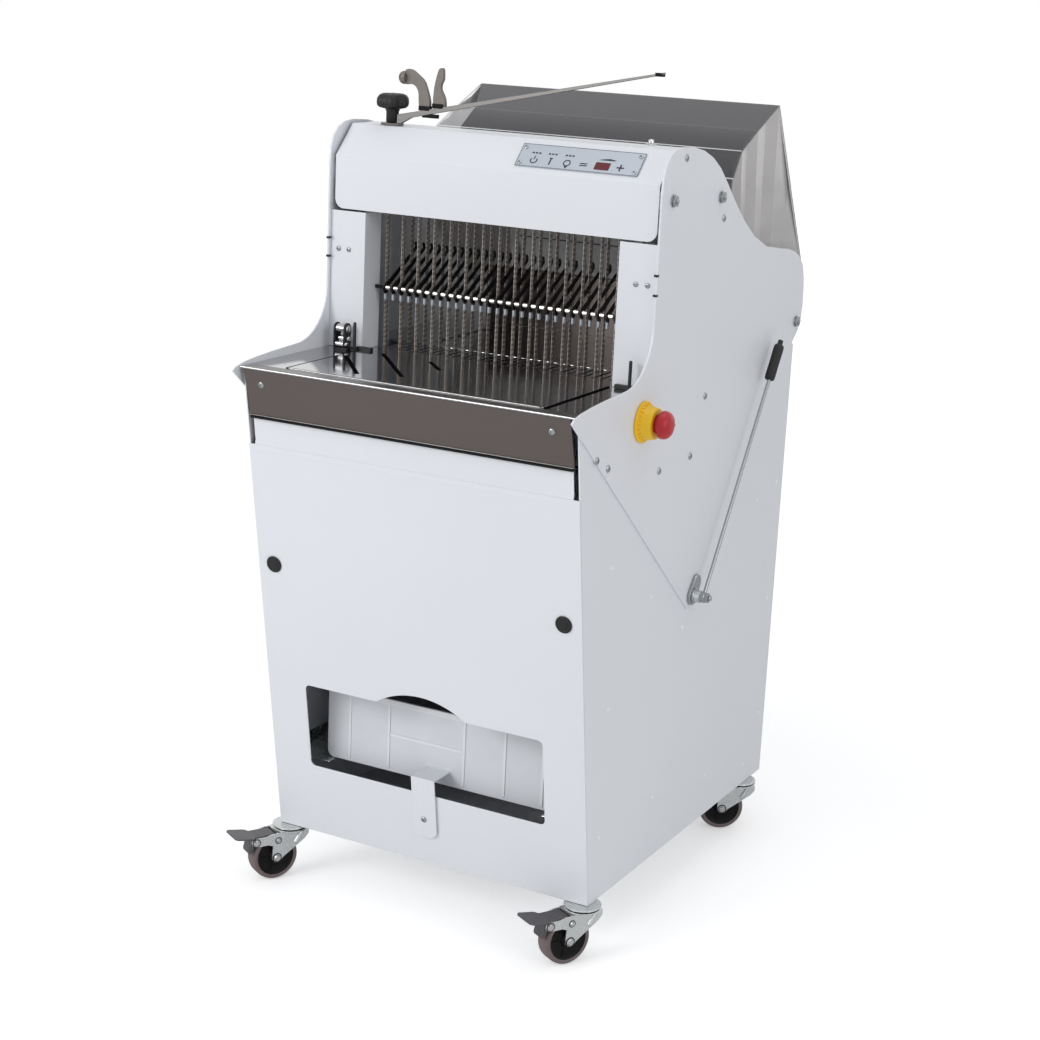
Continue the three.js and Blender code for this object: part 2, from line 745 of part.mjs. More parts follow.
// Crankshaft: a shaft with a crank disc and a short pin at each end, and the driven pulley between
const pulleyRadius = 45;
const pulleyHalfWidth = 12;
const beltHalfWidth = 8;
const beltThickness = 4;
const discOuter = rodInner - runningGap - 8.5;
function pulleyProfile(boreRadius, radius) {
  const rim = 3;
  return [
    [boreRadius, -pulleyHalfWidth],
    [radius + rim, -pulleyHalfWidth],
    [radius, -beltHalfWidth - fitGap],
    [radius, beltHalfWidth + fitGap],
    [radius + rim, pulleyHalfWidth],
    [boreRadius, pulleyHalfWidth],
  ];
}
function crankshaft() {
  const discRadius = 32;
  const discThickness = 12;
  const pinEnd = rodInner - runningGap;
  const discInner = discOuter - discThickness;
  const profile = pulleyProfile(0, pulleyRadius);
  return joined(
    barAcross(crankShaftRadius, -discOuter + discThickness / 2, discOuter - discThickness / 2, crankDepth, crankHeight),
    barAcross(discRadius, -discOuter, -discInner, crankDepth, crankHeight, pulleySides),
    barAcross(discRadius, discInner, discOuter, crankDepth, crankHeight, pulleySides),
    barAcross(crankPinRadius, -pinEnd, -discInner, crankDepth - bladeStroke, crankHeight),
    barAcross(crankPinRadius, discInner, pinEnd, crankDepth + bladeStroke, crankHeight),
    turnedAcross(profile, pulleySides).translate(0, crankDepth, crankHeight),
  );
}

// Beam across the cabinet with two bearing blocks for the crankshaft and a slot for the belt
const beamDrop = 45;
const beamTop = crankHeight - beamDrop;
const beamFront = 115;
const beamBack = 245;
const beamSheet = 4;
function driveBeam() {
  const flange = 22;
  const bearingCentre = 180;
  const bearingHalfWidth = 8;
  const bearingHalfDepth = 26;
  const beltSlot = 16;
  const line = [[beamFront, beamTop - flange], [beamFront, beamTop], [beamBack, beamTop], [beamBack, beamTop - flange]];
  const beam = across(bentSheet(line, beamSheet), -insidePanels, insidePanels);
  const slotDepth = [beamFront + beltSlot, beamBack - beltSlot];
  const slot = block([-beltSlot, beltSlot], slotDepth, [beamTop - flange, beamTop + flange]);
  const pieces = [cut(beam, slot)];
  for (const side of [-1, 1]) {
    const from = side * bearingCentre - bearingHalfWidth;
    const to = side * bearingCentre + bearingHalfWidth;
    const outline = new THREE.Shape();
    outline.moveTo(crankDepth - bearingHalfDepth, beamTop - beamSheet / 2);
    outline.lineTo(crankDepth + bearingHalfDepth, beamTop - beamSheet / 2);
    outline.absarc(crankDepth, crankHeight, bearingHalfDepth, 0, Math.PI, false);
    outline.closePath();
    outline.holes.push(circle(crankDepth, crankHeight, crankShaftRadius + fitGap));
    pieces.push(across(outline, from, to));
  }
  return joined(...pieces);
}

// Motor hung below the beam by its feet
const motorRadius = 55;
const motorFoot = 12;
const motorHeight = beamTop - beamSheet - fitGap - motorFoot - motorRadius;
const motorShaftRadius = 7;
function motor() {
  const bodyFrom = -200;
  const bodyTo = -30;
  const bell = 14;
  const footHalfDepth = 36;
  const footInset = 35;
  const profile = [
    [0, bodyFrom],
    [motorRadius - bell, bodyFrom],
    [motorRadius, bodyFrom + bell],
    [motorRadius, bodyTo - bell],
    [motorRadius - bell, bodyTo],
    [0, bodyTo],
  ];
  const body = turnedAcross(profile, pulleySides).translate(0, crankDepth, motorHeight);
  const footTop = motorHeight + motorRadius + motorFoot;
  const foot = block(
    [bodyFrom + footInset, bodyTo - footInset],
    [crankDepth - footHalfDepth, crankDepth + footHalfDepth],
    [motorHeight + motorRadius - 2 * motorFoot, footTop],
  );
  const shaft = barAcross(motorShaftRadius, bodyTo - bell, pulleyHalfWidth + fitGap, crankDepth, motorHeight);
  return joined(body, foot, shaft);
}

const motorPulleyRadius = 25;
function motorPulley() {
  const boreRadius = (motorShaftRadius + fitGap) / Math.cos(Math.PI / pulleySides);
  const profile = pulleyProfile(boreRadius, motorPulleyRadius);
  return turnedAcross([...profile, profile[0]], pulleySides).translate(0, crankDepth, motorHeight);
}

// Belt loop round the two pulleys
function driveBelt() {
  const span = crankHeight - motorHeight;
  const wrap = Math.asin((pulleyRadius - motorPulleyRadius) / span);
  const loop = (Kind, offset) => {
    const path = new Kind();
    path.absarc(crankDepth, crankHeight, pulleyRadius + offset, -wrap, Math.PI + wrap, false);
    path.absarc(crankDepth, motorHeight, motorPulleyRadius + offset, Math.PI + wrap, 2 * Math.PI - wrap, false);
    path.closePath();
    return path;
  };
  const outline = loop(THREE.Shape, runningGap + beltThickness);
  outline.holes.push(loop(THREE.Path, runningGap));
  return across(outline, -beltHalfWidth, beltHalfWidth, 2 * curveSteps);
}

// Lever shaft across the cabinet with two feed arms, each with a pin
function leverShaft() {
  const hubRadius = 18;
  const armEnd = 12;
  const pinLength = 16;
  const pinY = leverDepth + feedArmReach * Math.sin(feedArmLean);
  const pinZ = leverHeight + feedArmReach * Math.cos(feedArmLean);
  const pieces = [barAcross(leverShaftRadius, -halfCabinet, shaftEnd, leverDepth, leverHeight)];
  for (const side of [-1, 1]) {
    const middle = side * feedArmCentre;
    const arm = linkOutline(leverDepth, leverHeight, hubRadius, pinY, pinZ, armEnd);
    pieces.push(across(arm, middle - feedArmThickness / 2, middle + feedArmThickness / 2));
    const pinFrom = side > 0 ? middle : middle - feedArmThickness / 2 - pinLength;
    pieces.push(barAcross(feedPinRadius, pinFrom, pinFrom + feedArmThickness / 2 + pinLength, pinY, pinZ));
  }
  return joined(...pieces);
}

// Lever outside the right plate: an oval hub, a slim rod and the bolt end over the grip
const leverRodCentre = 294;
const leverRodRadius = 3;
const gripLength = 60;
const gripRadius = 8.5;
function leverRod() {
  const hubFrom = plateOuter + fitGap;
  const hubThickness = 8;
  const hubRadius = 15;
  const hubReach = 22;
  const boss = 12;
  const nutRadius = 8;
  const nutSides = 6;
  const washer = 2;
  const bossEnd = leverRodCentre + leverRodRadius + washer;
  const hub = across(linkOutline(0, 0, hubRadius, 0, hubReach, boss), hubFrom, hubFrom + hubThickness);
  const neck = barAcross(boss, hubFrom, bossEnd, 0, 0);
  const nut = barAcross(nutRadius, bossEnd - fitGap, bossEnd + nutRadius, 0, 0, nutSides);
  const bore = barAcross(boreFor(leverShaftRadius + fitGap), hubFrom - cutOverrun, shaftEnd + fitGap, 0, 0);
  const rod = barUp(leverRodRadius, 0, leverReach, leverRodCentre, 0, curveSteps);
  return cut(joined(hub, neck, nut, rod), bore);
}

// Six-sided grip on the lever's rod
function leverGrip() {
  const gripSides = 6;
  const bore = (leverRodRadius + fitGap) / Math.cos(Math.PI / gripSides);
  const bottom = leverReach - gripLength - gripRadius;
  const profile = [[bore, bottom], [gripRadius, bottom], [gripRadius, bottom + gripLength], [bore, bottom + gripLength]];
  return turnedUp([...profile, profile[0]], gripSides).translate(leverRodCentre, 0, 0);
}

// Pusher: an upright plate with a turned-back top and two forked brackets that reach down to the feed pins
function pusher() {
  const halfWidth = 205;
  const height = 92;
  const fold = 18;
  const bracketTop = 60;
  const forkWall = 12;
  const slack = 2.5;
  const slotTop = leverHeight + feedArmReach + feedPinRadius + cutOverrun;
  const slotBottom = leverHeight + feedArmReach * Math.cos(feedArmLean) - 2 * feedPinRadius;
  const bottom = tableHeight + fitGap;
  const pinY = leverDepth + feedArmReach * Math.sin(feedArmLean);
  const slotFront = pinY - feedPinRadius - slack;
  const slotBack = pinY + feedPinRadius + slack;
  const plateBack = pusherFront + plateToBracket;
  const bracketBack = plateBack + bracketDepth;
  const top = bottom + height;
  const plateLine = [[pusherFront, bottom], [pusherFront, top], [pusherFront + fold, top]];
  const plate = across(bentSheet(plateLine, plateToBracket), -halfWidth, halfWidth);
  const bracket = polygon([
    [slotFront - forkWall, slotBottom],
    [slotFront - forkWall, slotTop + forkWall],
    [plateBack - fitGap, slotTop + 2 * forkWall],
    [plateBack - fitGap, bottom + bracketTop],
    [bracketBack, bottom + bracketTop],
    [bracketBack, slotTop],
    [slotBack + forkWall, slotTop - forkWall],
    [slotBack + forkWall, slotBottom],
    [slotBack, slotBottom],
    [slotBack, slotTop],
    [slotFront, slotTop],
    [slotFront, slotBottom],
  ]);
  const pieces = [plate];
  for (const side of [-1, 1]) {
    const from = side * forkCentre - forkThickness / 2;
    pieces.push(across(bracket, from, from + forkThickness));
  }
  return joined(...pieces);
}

// Hold-down comb: a round bar with one hooked finger per gap between the blades
function comb() {
  const barRadius = 6;
  const pinRadius = 5;
  const fingerThickness = 4;
  const fingerReach = 91;
  const fingerHeight = 57;
  const fingerDepth = 8;
  const stub = 13;
  const stubWidth = 7;
  const hook = 9;
  const barHalf = gapCentre(gapCount - 1) + fingerThickness;
  const finger = polygon([
    [combDepth - fingerDepth / 2, combHeight],
    [combDepth, combHeight - barRadius - stub],
    [combDepth + stubWidth, combHeight - barRadius - stub],
    [combDepth + stubWidth, combHeight - barRadius / 2],
    [combDepth + fingerReach, combHeight + fingerHeight - fingerDepth],
    [combDepth + fingerReach - hook / 2, combHeight + fingerHeight + hook / 2],
    [combDepth + fingerReach - hook, combHeight + fingerHeight],
    [combDepth + fingerReach - hook, combHeight + fingerHeight - hook / 2],
    [combDepth, combHeight + fingerDepth / 2],
  ]);
  const pieces = [barAcross(barRadius, -barHalf, barHalf, combDepth, combHeight, barSides)];
  pieces.push(barAcross(pinRadius, fitGap - halfBay, halfBay - fitGap, combDepth, combHeight, barSides));
  for (let index = 0; index < gapCount; index += 1) {
    const from = gapCentre(index) - fingerThickness / 2;
    pieces.push(across(finger, from, from + fingerThickness));
  }
  return joined(...pieces);
}

// Rear cover: a faceted shell with two side walls, hinged on the rear tie bar
function rearCover() {
  const halfWidth = 264;
  const wall = 3;
  const coverEarRadius = 15;
  const crestShares = [
    [0, 0.71],
    [0.084, 0.822],
    [0.262, 0.902],
    [0.512, 1],
    [0.981, 0.243],
    [1.02, 0.1],
    [0.99, 0.03],
  ];
  const lipDepth = 364;
  const rearOverhang = 41;
  const crestOver = 50;
  const rearDepth = hingeTieDepth + rearOverhang;
  const lowHeight = hingeTieHeight;
  const crestHeight = hoodTop + crestOver;
  const place = ([along, up]) => [
    lipDepth + along * (rearDepth - lipDepth),
    lowHeight + up * (crestHeight - lowHeight),
  ];
  const line = crestShares.map(place);
  const skirtShares = [[0.62, 0.03], [0.18, 0.32], [0.005, 0.56]];
  const shell = across(bentSheet(line, wall), -halfWidth, halfWidth);
  const side = polygon([...line, ...skirtShares.map(place)]);
  const pieces = [shell];
  const bores = [];
  for (const from of [-halfWidth, halfWidth - wall]) {
    pieces.push(across(side, from, from + wall));
    const earTop = hingeTieHeight + coverEarRadius;
    const ear = linkOutline(hingeTieDepth, hingeTieHeight, coverEarRadius, hingeTieDepth, earTop, coverEarRadius);
    pieces.push(across(ear, from, from + wall));
    const boreRadius = boreFor(tieRadius + 3 * fitGap);
    bores.push(barAcross(boreRadius, from - cutOverrun, from + wall + cutOverrun, hingeTieDepth, hingeTieHeight));
  }
  return cut(joined(...pieces), ...bores);
}

// Arm on the hood: a hub disc and a flat bar that rises to the right
const armAcross = -205;
const armDepth = 165;
const armStemRadius = 9.5;
const armHubHeight = 4;
const armRootHeight = 14.5;
const armRise = THREE.MathUtils.degToRad(11.4);
const armBottom = hoodTop + fitGap;
const armBarHeight = 8;
function armTopAt(x) {
  return armBottom + armRootHeight + (x - armAcross) * Math.tan(armRise);
}
function swivelArm() {
  const hubRadius = 17;
  const barHalfDepth = 4;
  const armEnd = 235;
  const endHeight = 3;
  const start = armAcross + armStemRadius + runningGap;
  const bar = polygon([
    [start, armBottom],
    [armAcross + 2 * hubRadius, armTopAt(armAcross + 2 * hubRadius) - armBarHeight],
    [armEnd, armTopAt(armEnd) - endHeight],
    [armEnd, armTopAt(armEnd)],
    [start, armTopAt(start)],
  ]);
  const hub = barUp(hubRadius, armBottom, armBottom + armHubHeight, armAcross, armDepth);
  return joined(hub, backward(bar, armDepth - barHalfDepth, armDepth + barHalfDepth));
}

// Two curved horns that stand on the arm; each outline is in shares of the horn's height, and follows
// the slope of the arm below it
const hornHeight = 60;
function horn(baseAcross, outlineShares) {
  const halfThickness = 3;
  const points = outlineShares.map(([a, b]) => {
    const x = baseAcross + a * hornHeight;
    return new THREE.Vector2(x, armTopAt(x) + fitGap + b * hornHeight);
  });
  const outline = new THREE.Shape(new THREE.SplineCurve(points).getPoints(2 * points.length));
  return backward(outline, armDepth - halfThickness, armDepth + halfThickness);
}
function leftHorn() {
  const discRadius = 9.5;
  const discThickness = 6;
  const base = -157;
  const outlineShares = [
    [0, 0], [-0.03, 0.25], [-0.04, 0.44], [-0.12, 0.6], [-0.25, 0.68], [-0.42, 0.7], [-0.45, 0.86],
    [-0.42, 1.05], [-0.25, 1.02], [-0.07, 0.87], [0.1, 0.7], [0.2, 0.46], [0.28, 0.2], [0.28, 0],
  ];
  const discAcross = base - 0.46 * hornHeight;
  const disc = new THREE.CylinderGeometry(discRadius, discRadius, discThickness, roundSides);
  disc.rotateZ(Math.PI / 2).translate(discAcross, armDepth, armTopAt(discAcross) + 0.87 * hornHeight);
  return joined(horn(base, outlineShares), disc);
}
function rightHorn() {
  const outlineShares = [
    [0, 0], [0, 0.25], [0.03, 0.55], [0.12, 0.88], [0.19, 0.94], [0.26, 0.9],
    [0.27, 0.66], [0.22, 0.56], [0.21, 0.43], [0.31, 0.23], [0.34, 0.08], [0.34, 0],
  ];
  return horn(-134, outlineShares);
}

// Star knob: lobed head on a round stem
function starKnob() {
  const headLift = 37;
  const headHeight = 22;
  const headBottom = hoodTop + headLift;
  const headTop = headBottom + headHeight;
  const headRadius = 24.5;
  const lobe = 2;
  const lobes = 6;
  const steps = 4 * lobes;
  const points = [];
  for (let index = 0; index < steps; index += 1) {
    const angle = (index / steps) * 2 * Math.PI;
    const radius = headRadius + lobe * Math.cos(lobes * angle);
    points.push([armAcross + radius * Math.cos(angle), armDepth + radius * Math.sin(angle)]);
  }
  const stemBottom = armBottom + armHubHeight + fitGap;
  const stem = barUp(armStemRadius, stemBottom, headBottom + lobe, armAcross, armDepth);
  return joined(stem, upward(polygon(points), headBottom, headTop));
}

// Crumb drawer: an open tray with a top rim band and ribs on its face
const drawerFront = 25;
const drawerBottom = 205.3;
function crumbDrawer() {
  const halfWidth = 200;
  const length = 340;
  const height = 92;
  const wall = 3;
  const corner = 12;
  const bandHeight = 17;
  const bandStep = 3;
  const ribStep = 1.5;
  const ribHalfWidth = 3;
  const ribHeight = 59;
  const crossRibHeight = 265;
  const ribShares = [-0.794, -0.444, 0.214, 0.56];
  const top = drawerBottom + height;
  const back = drawerFront + length;
  const outline = roundedRectangle(-halfWidth, drawerFront, halfWidth, back, corner);
  const outer = upward(outline, drawerBottom, top, cornerSteps);
  const inner = roundedRectangle(wall - halfWidth, drawerFront + wall, halfWidth - wall, back - wall, corner - wall);
  const tray = cut(outer, upward(inner, drawerBottom + wall, top + cutOverrun, cornerSteps));
  const face = [drawerFront - bandStep, drawerFront + wall / 2];
  const ribFace = [drawerFront - ribStep, drawerFront + wall / 2];
  const pieces = [tray, block([corner - halfWidth, halfWidth - corner], face, [top - bandHeight, top])];
  for (const share of ribShares) {
    const middle = share * halfWidth;
    const rib = [middle - ribHalfWidth, middle + ribHalfWidth];
    pieces.push(block(rib, ribFace, [top - bandHeight - ribHeight, top - bandHeight / 2]));
  }
  const crossRib = [ribShares[1] * halfWidth, ribShares[2] * halfWidth];
  pieces.push(block(crossRib, ribFace, [crossRibHeight - ribHalfWidth, crossRibHeight + ribHalfWidth]));
  return joined(...pieces);
}

// Tab in front of the drawer: a folded strip with a rounded lower end
function drawerTab() {
  const halfWidth = 20;
  const top = 230;
  const bottom = 131;
  const standOff = 4;
  const corner = 14;
  const line = [
    [drawerFront - fitGap, top],
    [frontAt(top) - standOff, top],
    [frontAt(bottom) - standOff, bottom],
  ];
  const strip = across(bentSheet(line, -panelThickness), -halfWidth, halfWidth);
  const outline = roundedRectangle(-halfWidth, bottom, halfWidth, top + 2 * corner, corner);
  return common(strip, backward(outline, -halfCabinet, halfCabinet));
}

// Drawer runner: a folded shelf from the side panel under the drawer's edge
function drawerRunner() {
  const inner = 185;
  const front = 5;
  const back = 350;
  const guard = 12;
  const shelfTop = drawerBottom - fitGap;
  const shelfUnder = shelfTop - panelThickness;
  const line = [[inner, shelfUnder], [insidePanels, shelfUnder], [insidePanels, shelfTop + guard]];
  return backward(bentSheet(line, -panelThickness), front, back);
}

// Emergency stop: a yellow collar on the right plate and a red mushroom that slides in it
const stopInset = 26;
const stopDrop = 37.5;
const stopDepth = columnFront - stopInset;
const stopHeight = tableHeight - stopDrop;
const stopFrom = plateOuter + fitGap;
const stopBoreRadius = 12.5;
const stopBoreDepth = 6;
const stopCollarHeight = 22;
const stopTravel = 5;
function stopCollar() {
  const discRadius = 30;
  const discHeight = 4;
  const collarRadius = 25;
  const collarTopRadius = 22;
  const profile = [
    [0, 0],
    [discRadius, 0],
    [discRadius, discHeight],
    [collarRadius, stopBoreDepth],
    [collarTopRadius, stopCollarHeight],
    [stopBoreRadius, stopCollarHeight],
    [stopBoreRadius, stopBoreDepth],
    [0, stopBoreDepth],
  ];
  return turnedAcross(profile, pulleySides).translate(stopFrom, stopDepth, stopHeight);
}
function stopButton() {
  const stemRadius = stopBoreRadius - runningGap;
  const headRadius = 20;
  const rim = 2;
  const headHeight = 17;
  const stemFrom = stopBoreDepth + stopTravel + fitGap;
  const headFrom = stopCollarHeight + stopTravel + 2 * runningGap;
  const profile = [
    [0, stemFrom],
    [stemRadius, stemFrom],
    [stemRadius, headFrom],
    [headRadius - rim, headFrom],
    [headRadius, headFrom + rim],
    [headRadius, headFrom + headHeight / 2],
    [headRadius * 0.8, headFrom + headHeight * 0.85],
    [headRadius * 0.4, headFrom + headHeight],
    [0, headFrom + headHeight],
  ];
  return turnedAcross(profile, pulleySides).translate(stopFrom, stopDepth, stopHeight);
}

// Roller bracket at the left rear corner of the front table
function rollerBracket() {
  const centre = -236;
  const front = 84;
  const back = 102;
  const sheet = 3;
  const height = 40;
  const roller = 8;
  const bottom = tableHeight + fitGap;
  const half = 12;
  const foot = block([centre - half, centre + half], [front, back], [bottom, bottom + sheet]);
  const cheek = block([centre - half, centre - half + sheet], [front, back], [bottom, bottom + height]);
  const lower = barAcross(roller, centre - half, centre + half, (front + back) / 2, bottom + roller + sheet / 2);
  const upper = barAcross(roller, centre - half, centre + half, (front + back) / 2, bottom + height - roller);
  return joined(foot, cheek, lower, upper);
}

// Black pin on a round foot beside each column
const leftPinAcross = 215;
const rightPinAcross = 244;
function tablePin(centre) {
  const depth = 92;
  const bottom = tableHeight + fitGap;
  const footRadius = 6;
  const footHeight = 3;
  const pinRadius = 2.5;
  const pinHeight = 43;
  const profile = [
    [0, bottom],
    [footRadius, bottom],
    [footRadius, bottom + footHeight],
    [pinRadius, bottom + footHeight],
    [pinRadius, bottom + pinHeight],
    [0, bottom + pinHeight],
  ];
  return turnedUp(profile, curveSteps).translate(centre, depth, 0);
}

// Caster fork about its swivel axis: crown, bridge, two legs and the axle, with arms for a brake where it has one
const axleRadius = 5;
const axleSides = 8;
const brakeBoltRadius = 3.5;
const legInner = 15.5;
const legThickness = 2.5;
const crownRadius = 28;
const crownTop = skirtHeight - fitGap;
const bridgeBottom = 2 * wheelRadius + 1.3;
const brakeOut = 65;
const brakeHeight = 68;
function casterFork(withBrake) {
  const bridgeHeight = 2.5;
  const legTop = bridgeBottom + bridgeHeight / 2;
  const front = -24;
  const boss = 8;
  const boltEnd = legInner + legThickness + 3;
  const armLow = 61;
  const armHigh = 75;
  const back = [
    [front, legTop],
    [front, legTop - boss],
    [casterTrail - boss, wheelRadius - boss / 2],
    [casterTrail, wheelRadius - boss],
    [casterTrail + boss, wheelRadius - boss / 2],
  ];
  const brakeArm = [
    [casterTrail + boss, armLow],
    [brakeOut, armLow],
    [brakeOut + boss, (armLow + armHigh) / 2],
    [brakeOut, armHigh],
    [casterTrail + boss, legTop],
  ];
  const plainEdge = [[casterTrail + boss, wheelRadius + boss], [casterTrail - boss, legTop]];
  const leg = polygon([...back, ...(withBrake ? brakeArm : plainEdge)]);
  const pieces = [];
  const crownProfile = [
    [0, bridgeBottom + bridgeHeight / 2],
    [crownRadius - bridgeHeight, bridgeBottom + bridgeHeight / 2],
    [crownRadius, bridgeBottom + bridgeHeight],
    [crownRadius, crownTop - bridgeHeight],
    [crownRadius - bridgeHeight, crownTop],
    [0, crownTop],
  ];
  pieces.push(turnedUp(crownProfile, roundSides));
  const outer = legInner + legThickness;
  pieces.push(block([-outer, outer], [front, casterTrail], [bridgeBottom, bridgeBottom + bridgeHeight]));
  for (const from of [-outer, legInner]) {
    pieces.push(across(leg, from, from + legThickness));
  }
  pieces.push(barAcross(axleRadius, -boltEnd, boltEnd, casterTrail, wheelRadius, axleSides));
  if (withBrake) pieces.push(barAcross(brakeBoltRadius, -boltEnd, boltEnd, brakeOut, brakeHeight, axleSides));
  return joined(...pieces);
}

// Wheel: hub, thin web, rim and tread
function wheel() {
  const bore = (axleRadius + runningGap) / Math.cos(Math.PI / wheelSides);
  const hubHalf = legInner - runningGap;
  const hubRadius = 12;
  const webHalf = wheelWidth / 2 - 4;
  const rimRadius = wheelRadius - 8;
  const half = wheelWidth / 2;
  const tread = 3;
  const side = [
    [bore, hubHalf],
    [hubRadius, hubHalf],
    [rimRadius, webHalf],
    [wheelRadius - tread, half],
    [wheelRadius, half - tread],
  ];
  const otherSide = side.map(([radius, along]) => [radius, -along]).reverse();
  return turnedAcross([...side, ...otherSide, side[0]].reverse(), wheelSides).translate(0, casterTrail, wheelRadius);
}

// Brake pedal on the fork's outer bolt: hub, rising tread plate and the shoe beside the wheel
function brakePedal() {
  const hubRadius = 6.5;
  const halfWidth = 12;
  const plateHalfWidth = 22;
  const plate = 4;
  const tipOut = 100;
  const tipHeight = 81;
  const shoeOut = 73;
  const shoeLow = 50;
  const widen = 12;
  const bore = boreFor(brakeBoltRadius + fitGap);
  const hub = barAcross(hubRadius, -halfWidth, halfWidth, brakeOut, brakeHeight);
  const neck = across(linkOutline(brakeOut, brakeHeight + hubRadius - plate, plate / 2, tipOut, tipHeight, plate / 2), -halfWidth, halfWidth, 2);
  const padFrom = brakeOut + widen;
  const rise = (tipHeight - brakeHeight - hubRadius + plate) / (tipOut - brakeOut);
  const padHeight = brakeHeight + hubRadius - plate + widen * rise;
  const pad = across(linkOutline(padFrom, padHeight, plate / 2, tipOut, tipHeight, plate / 2), -plateHalfWidth, plateHalfWidth, 2);
  const shoe = across(linkOutline(shoeOut, shoeLow, plate / 2, brakeOut + plate, brakeHeight, plate / 2), -halfWidth, halfWidth, 2);
  const boreTool = barAcross(bore, -halfWidth - cutOverrun, halfWidth + cutOverrun, brakeOut, brakeHeight);
  return cut(joined(hub, neck, pad, shoe), boreTool);
}

function addCaster(name, x, y, turn, withBrake) {
  const caster = new THREE.Group();
  caster.position.set(x, y, 0);
  caster.rotation.z = turn;
  add(name + "_fork", casterFork(withBrake), zincSteel(), caster);
  add(name + "_wheel", wheel(), tyreGrey(), caster);
  if (withBrake) add(name + "_brake", brakePedal(), zincSteel(), caster);
  machine.add(caster);
}

// Cabinet
add("base_plate", basePlate(), whitePaint());
addPair("side_panel", sidePanel(), whitePaint);
add("rear_panel", rearPanel(), whitePaint());
const leaning = new THREE.Group();
leaning.position.set(0, 0, skirtHeight);
leaning.rotation.x = Math.PI / 2 + leanAngle;
machine.add(leaning);
add("front_panel", frontPanel(), whitePaint(), leaning);
add("plug_right", plug().translate(plugAcross, upSlope(plugHeight), 0), blackPlastic(), leaning);
add("plug_left", plug().translate(-plugAcross, upSlope(plugHeight), 0), blackPlastic(), leaning);

// Upper structure
addPair("upper_plate", upperPlate(), whitePaint);
add("tie_bar_front", tieBar(frontTieDepth, frontTieHeight), zincSteel());
add("tie_bar_rear", tieBar(rearTieDepth, rearTieHeight), zincSteel());
add("tie_bar_hinge", tieBar(hingeTieDepth, hingeTieHeight), zincSteel());
addPair("column", column(), whitePaint);
add("hood", hood(), whitePaint());
const slope = new THREE.Group();
slope.position.set(0, hoodFront, slopeFoot);
slope.rotation.x = Math.atan2(slopeHeight, slopeDepth);
machine.add(slope);
add("control_plate", controlPlate(), greyPlastic(), slope);

// Tables and fascia
add("front_table", frontTable(), polishedSteel());
add("table_inlay", tableInlay(), polishedSteel());
add("rear_table", rearTable(), polishedSteel());
add("fascia", fascia(), brushedSteel());
add("roller_bracket", rollerBracket(), polishedSteel());
add("table_pin_left", tablePin(-leftPinAcross), blackPlastic());
add("table_pin_right", tablePin(rightPinAcross), blackPlastic());

// Blades and their drive
add("blade_frame_front", bladeFrame(frontFrameDepth, 0, -1), polishedSteel());
add("blade_frame_rear", bladeFrame(rearFrameDepth, 1, 1), polishedSteel());
addPair("guide_rods", guideRods(), zincSteel);
add("connecting_rod_front", connectingRod(frontFrameDepth, -1), castGrey());
add("connecting_rod_rear", connectingRod(rearFrameDepth, 1), castGrey());
add("crankshaft", crankshaft(), zincSteel());
add("drive_beam", driveBeam(), castGrey());
add("motor", motor(), castGrey());
add("motor_pulley", motorPulley(), castGrey());
add("drive_belt", driveBelt(), beltBlack());

// Feed lever and pusher
add("lever_shaft", leverShaft(), zincSteel());
const lever = new THREE.Group();
lever.position.set(0, leverDepth, leverHeight);
lever.rotation.x = -leverLean;
machine.add(lever);
add("lever_rod", leverRod(), zincSteel(), lever);
add("lever_grip", leverGrip(), blackPlastic(), lever);
add("pusher", pusher(), brushedSteel());

// Comb, cover and the arm on the hood
add("hold_down_comb", comb(), darkSteel());
add("rear_cover", rearCover(), smokedPlastic());
add("swivel_arm", swivelArm(), polishedSteel());
add("arm_horn_left", leftHorn(), darkSteel());
add("arm_horn_right", rightHorn(), darkSteel());
add("star_knob", starKnob(), blackPlastic());

// Crumb drawer
add("crumb_drawer", crumbDrawer(), greyPlastic());
add("drawer_tab", drawerTab(), whitePaint());
addPair("drawer_runner", drawerRunner(), zincSteel);

// Emergency stop
add("stop_collar", stopCollar(), safetyYellow());
add("stop_button", stopButton(), safetyRed());

// Casters
const frontTurn = Math.PI - THREE.MathUtils.degToRad(30);
const rearTurn = Math.PI - THREE.MathUtils.degToRad(55);
addCaster("caster_front_right", swivelAcross, frontSwivelDepth, frontTurn, true);
addCaster("caster_front_left", -swivelAcross, frontSwivelDepth, frontTurn, true);
addCaster("caster_rear_right", swivelAcross, rearSwivelDepth, rearTurn, false);
addCaster("caster_rear_left", -swivelAcross, rearSwivelDepth, rearTurn, false);

// Stand the machine on the origin, centred under its box
machine.updateMatrixWorld(true);
const extent = new THREE.Box3().setFromObject(machine, true);
const middle = extent.getCenter(new THREE.Vector3());
machine.position.set(-middle.x, -middle.y, -extent.min.z);

export default machine;
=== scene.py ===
"""Looks of a floor-standing bread slicer: finishes for its frame and the pieces that the frame leaves plain."""

import math

import bmesh
import bpy
from bpy.props import FloatProperty, FloatVectorProperty, IntProperty, PointerProperty
from mathutils import Matrix, Vector


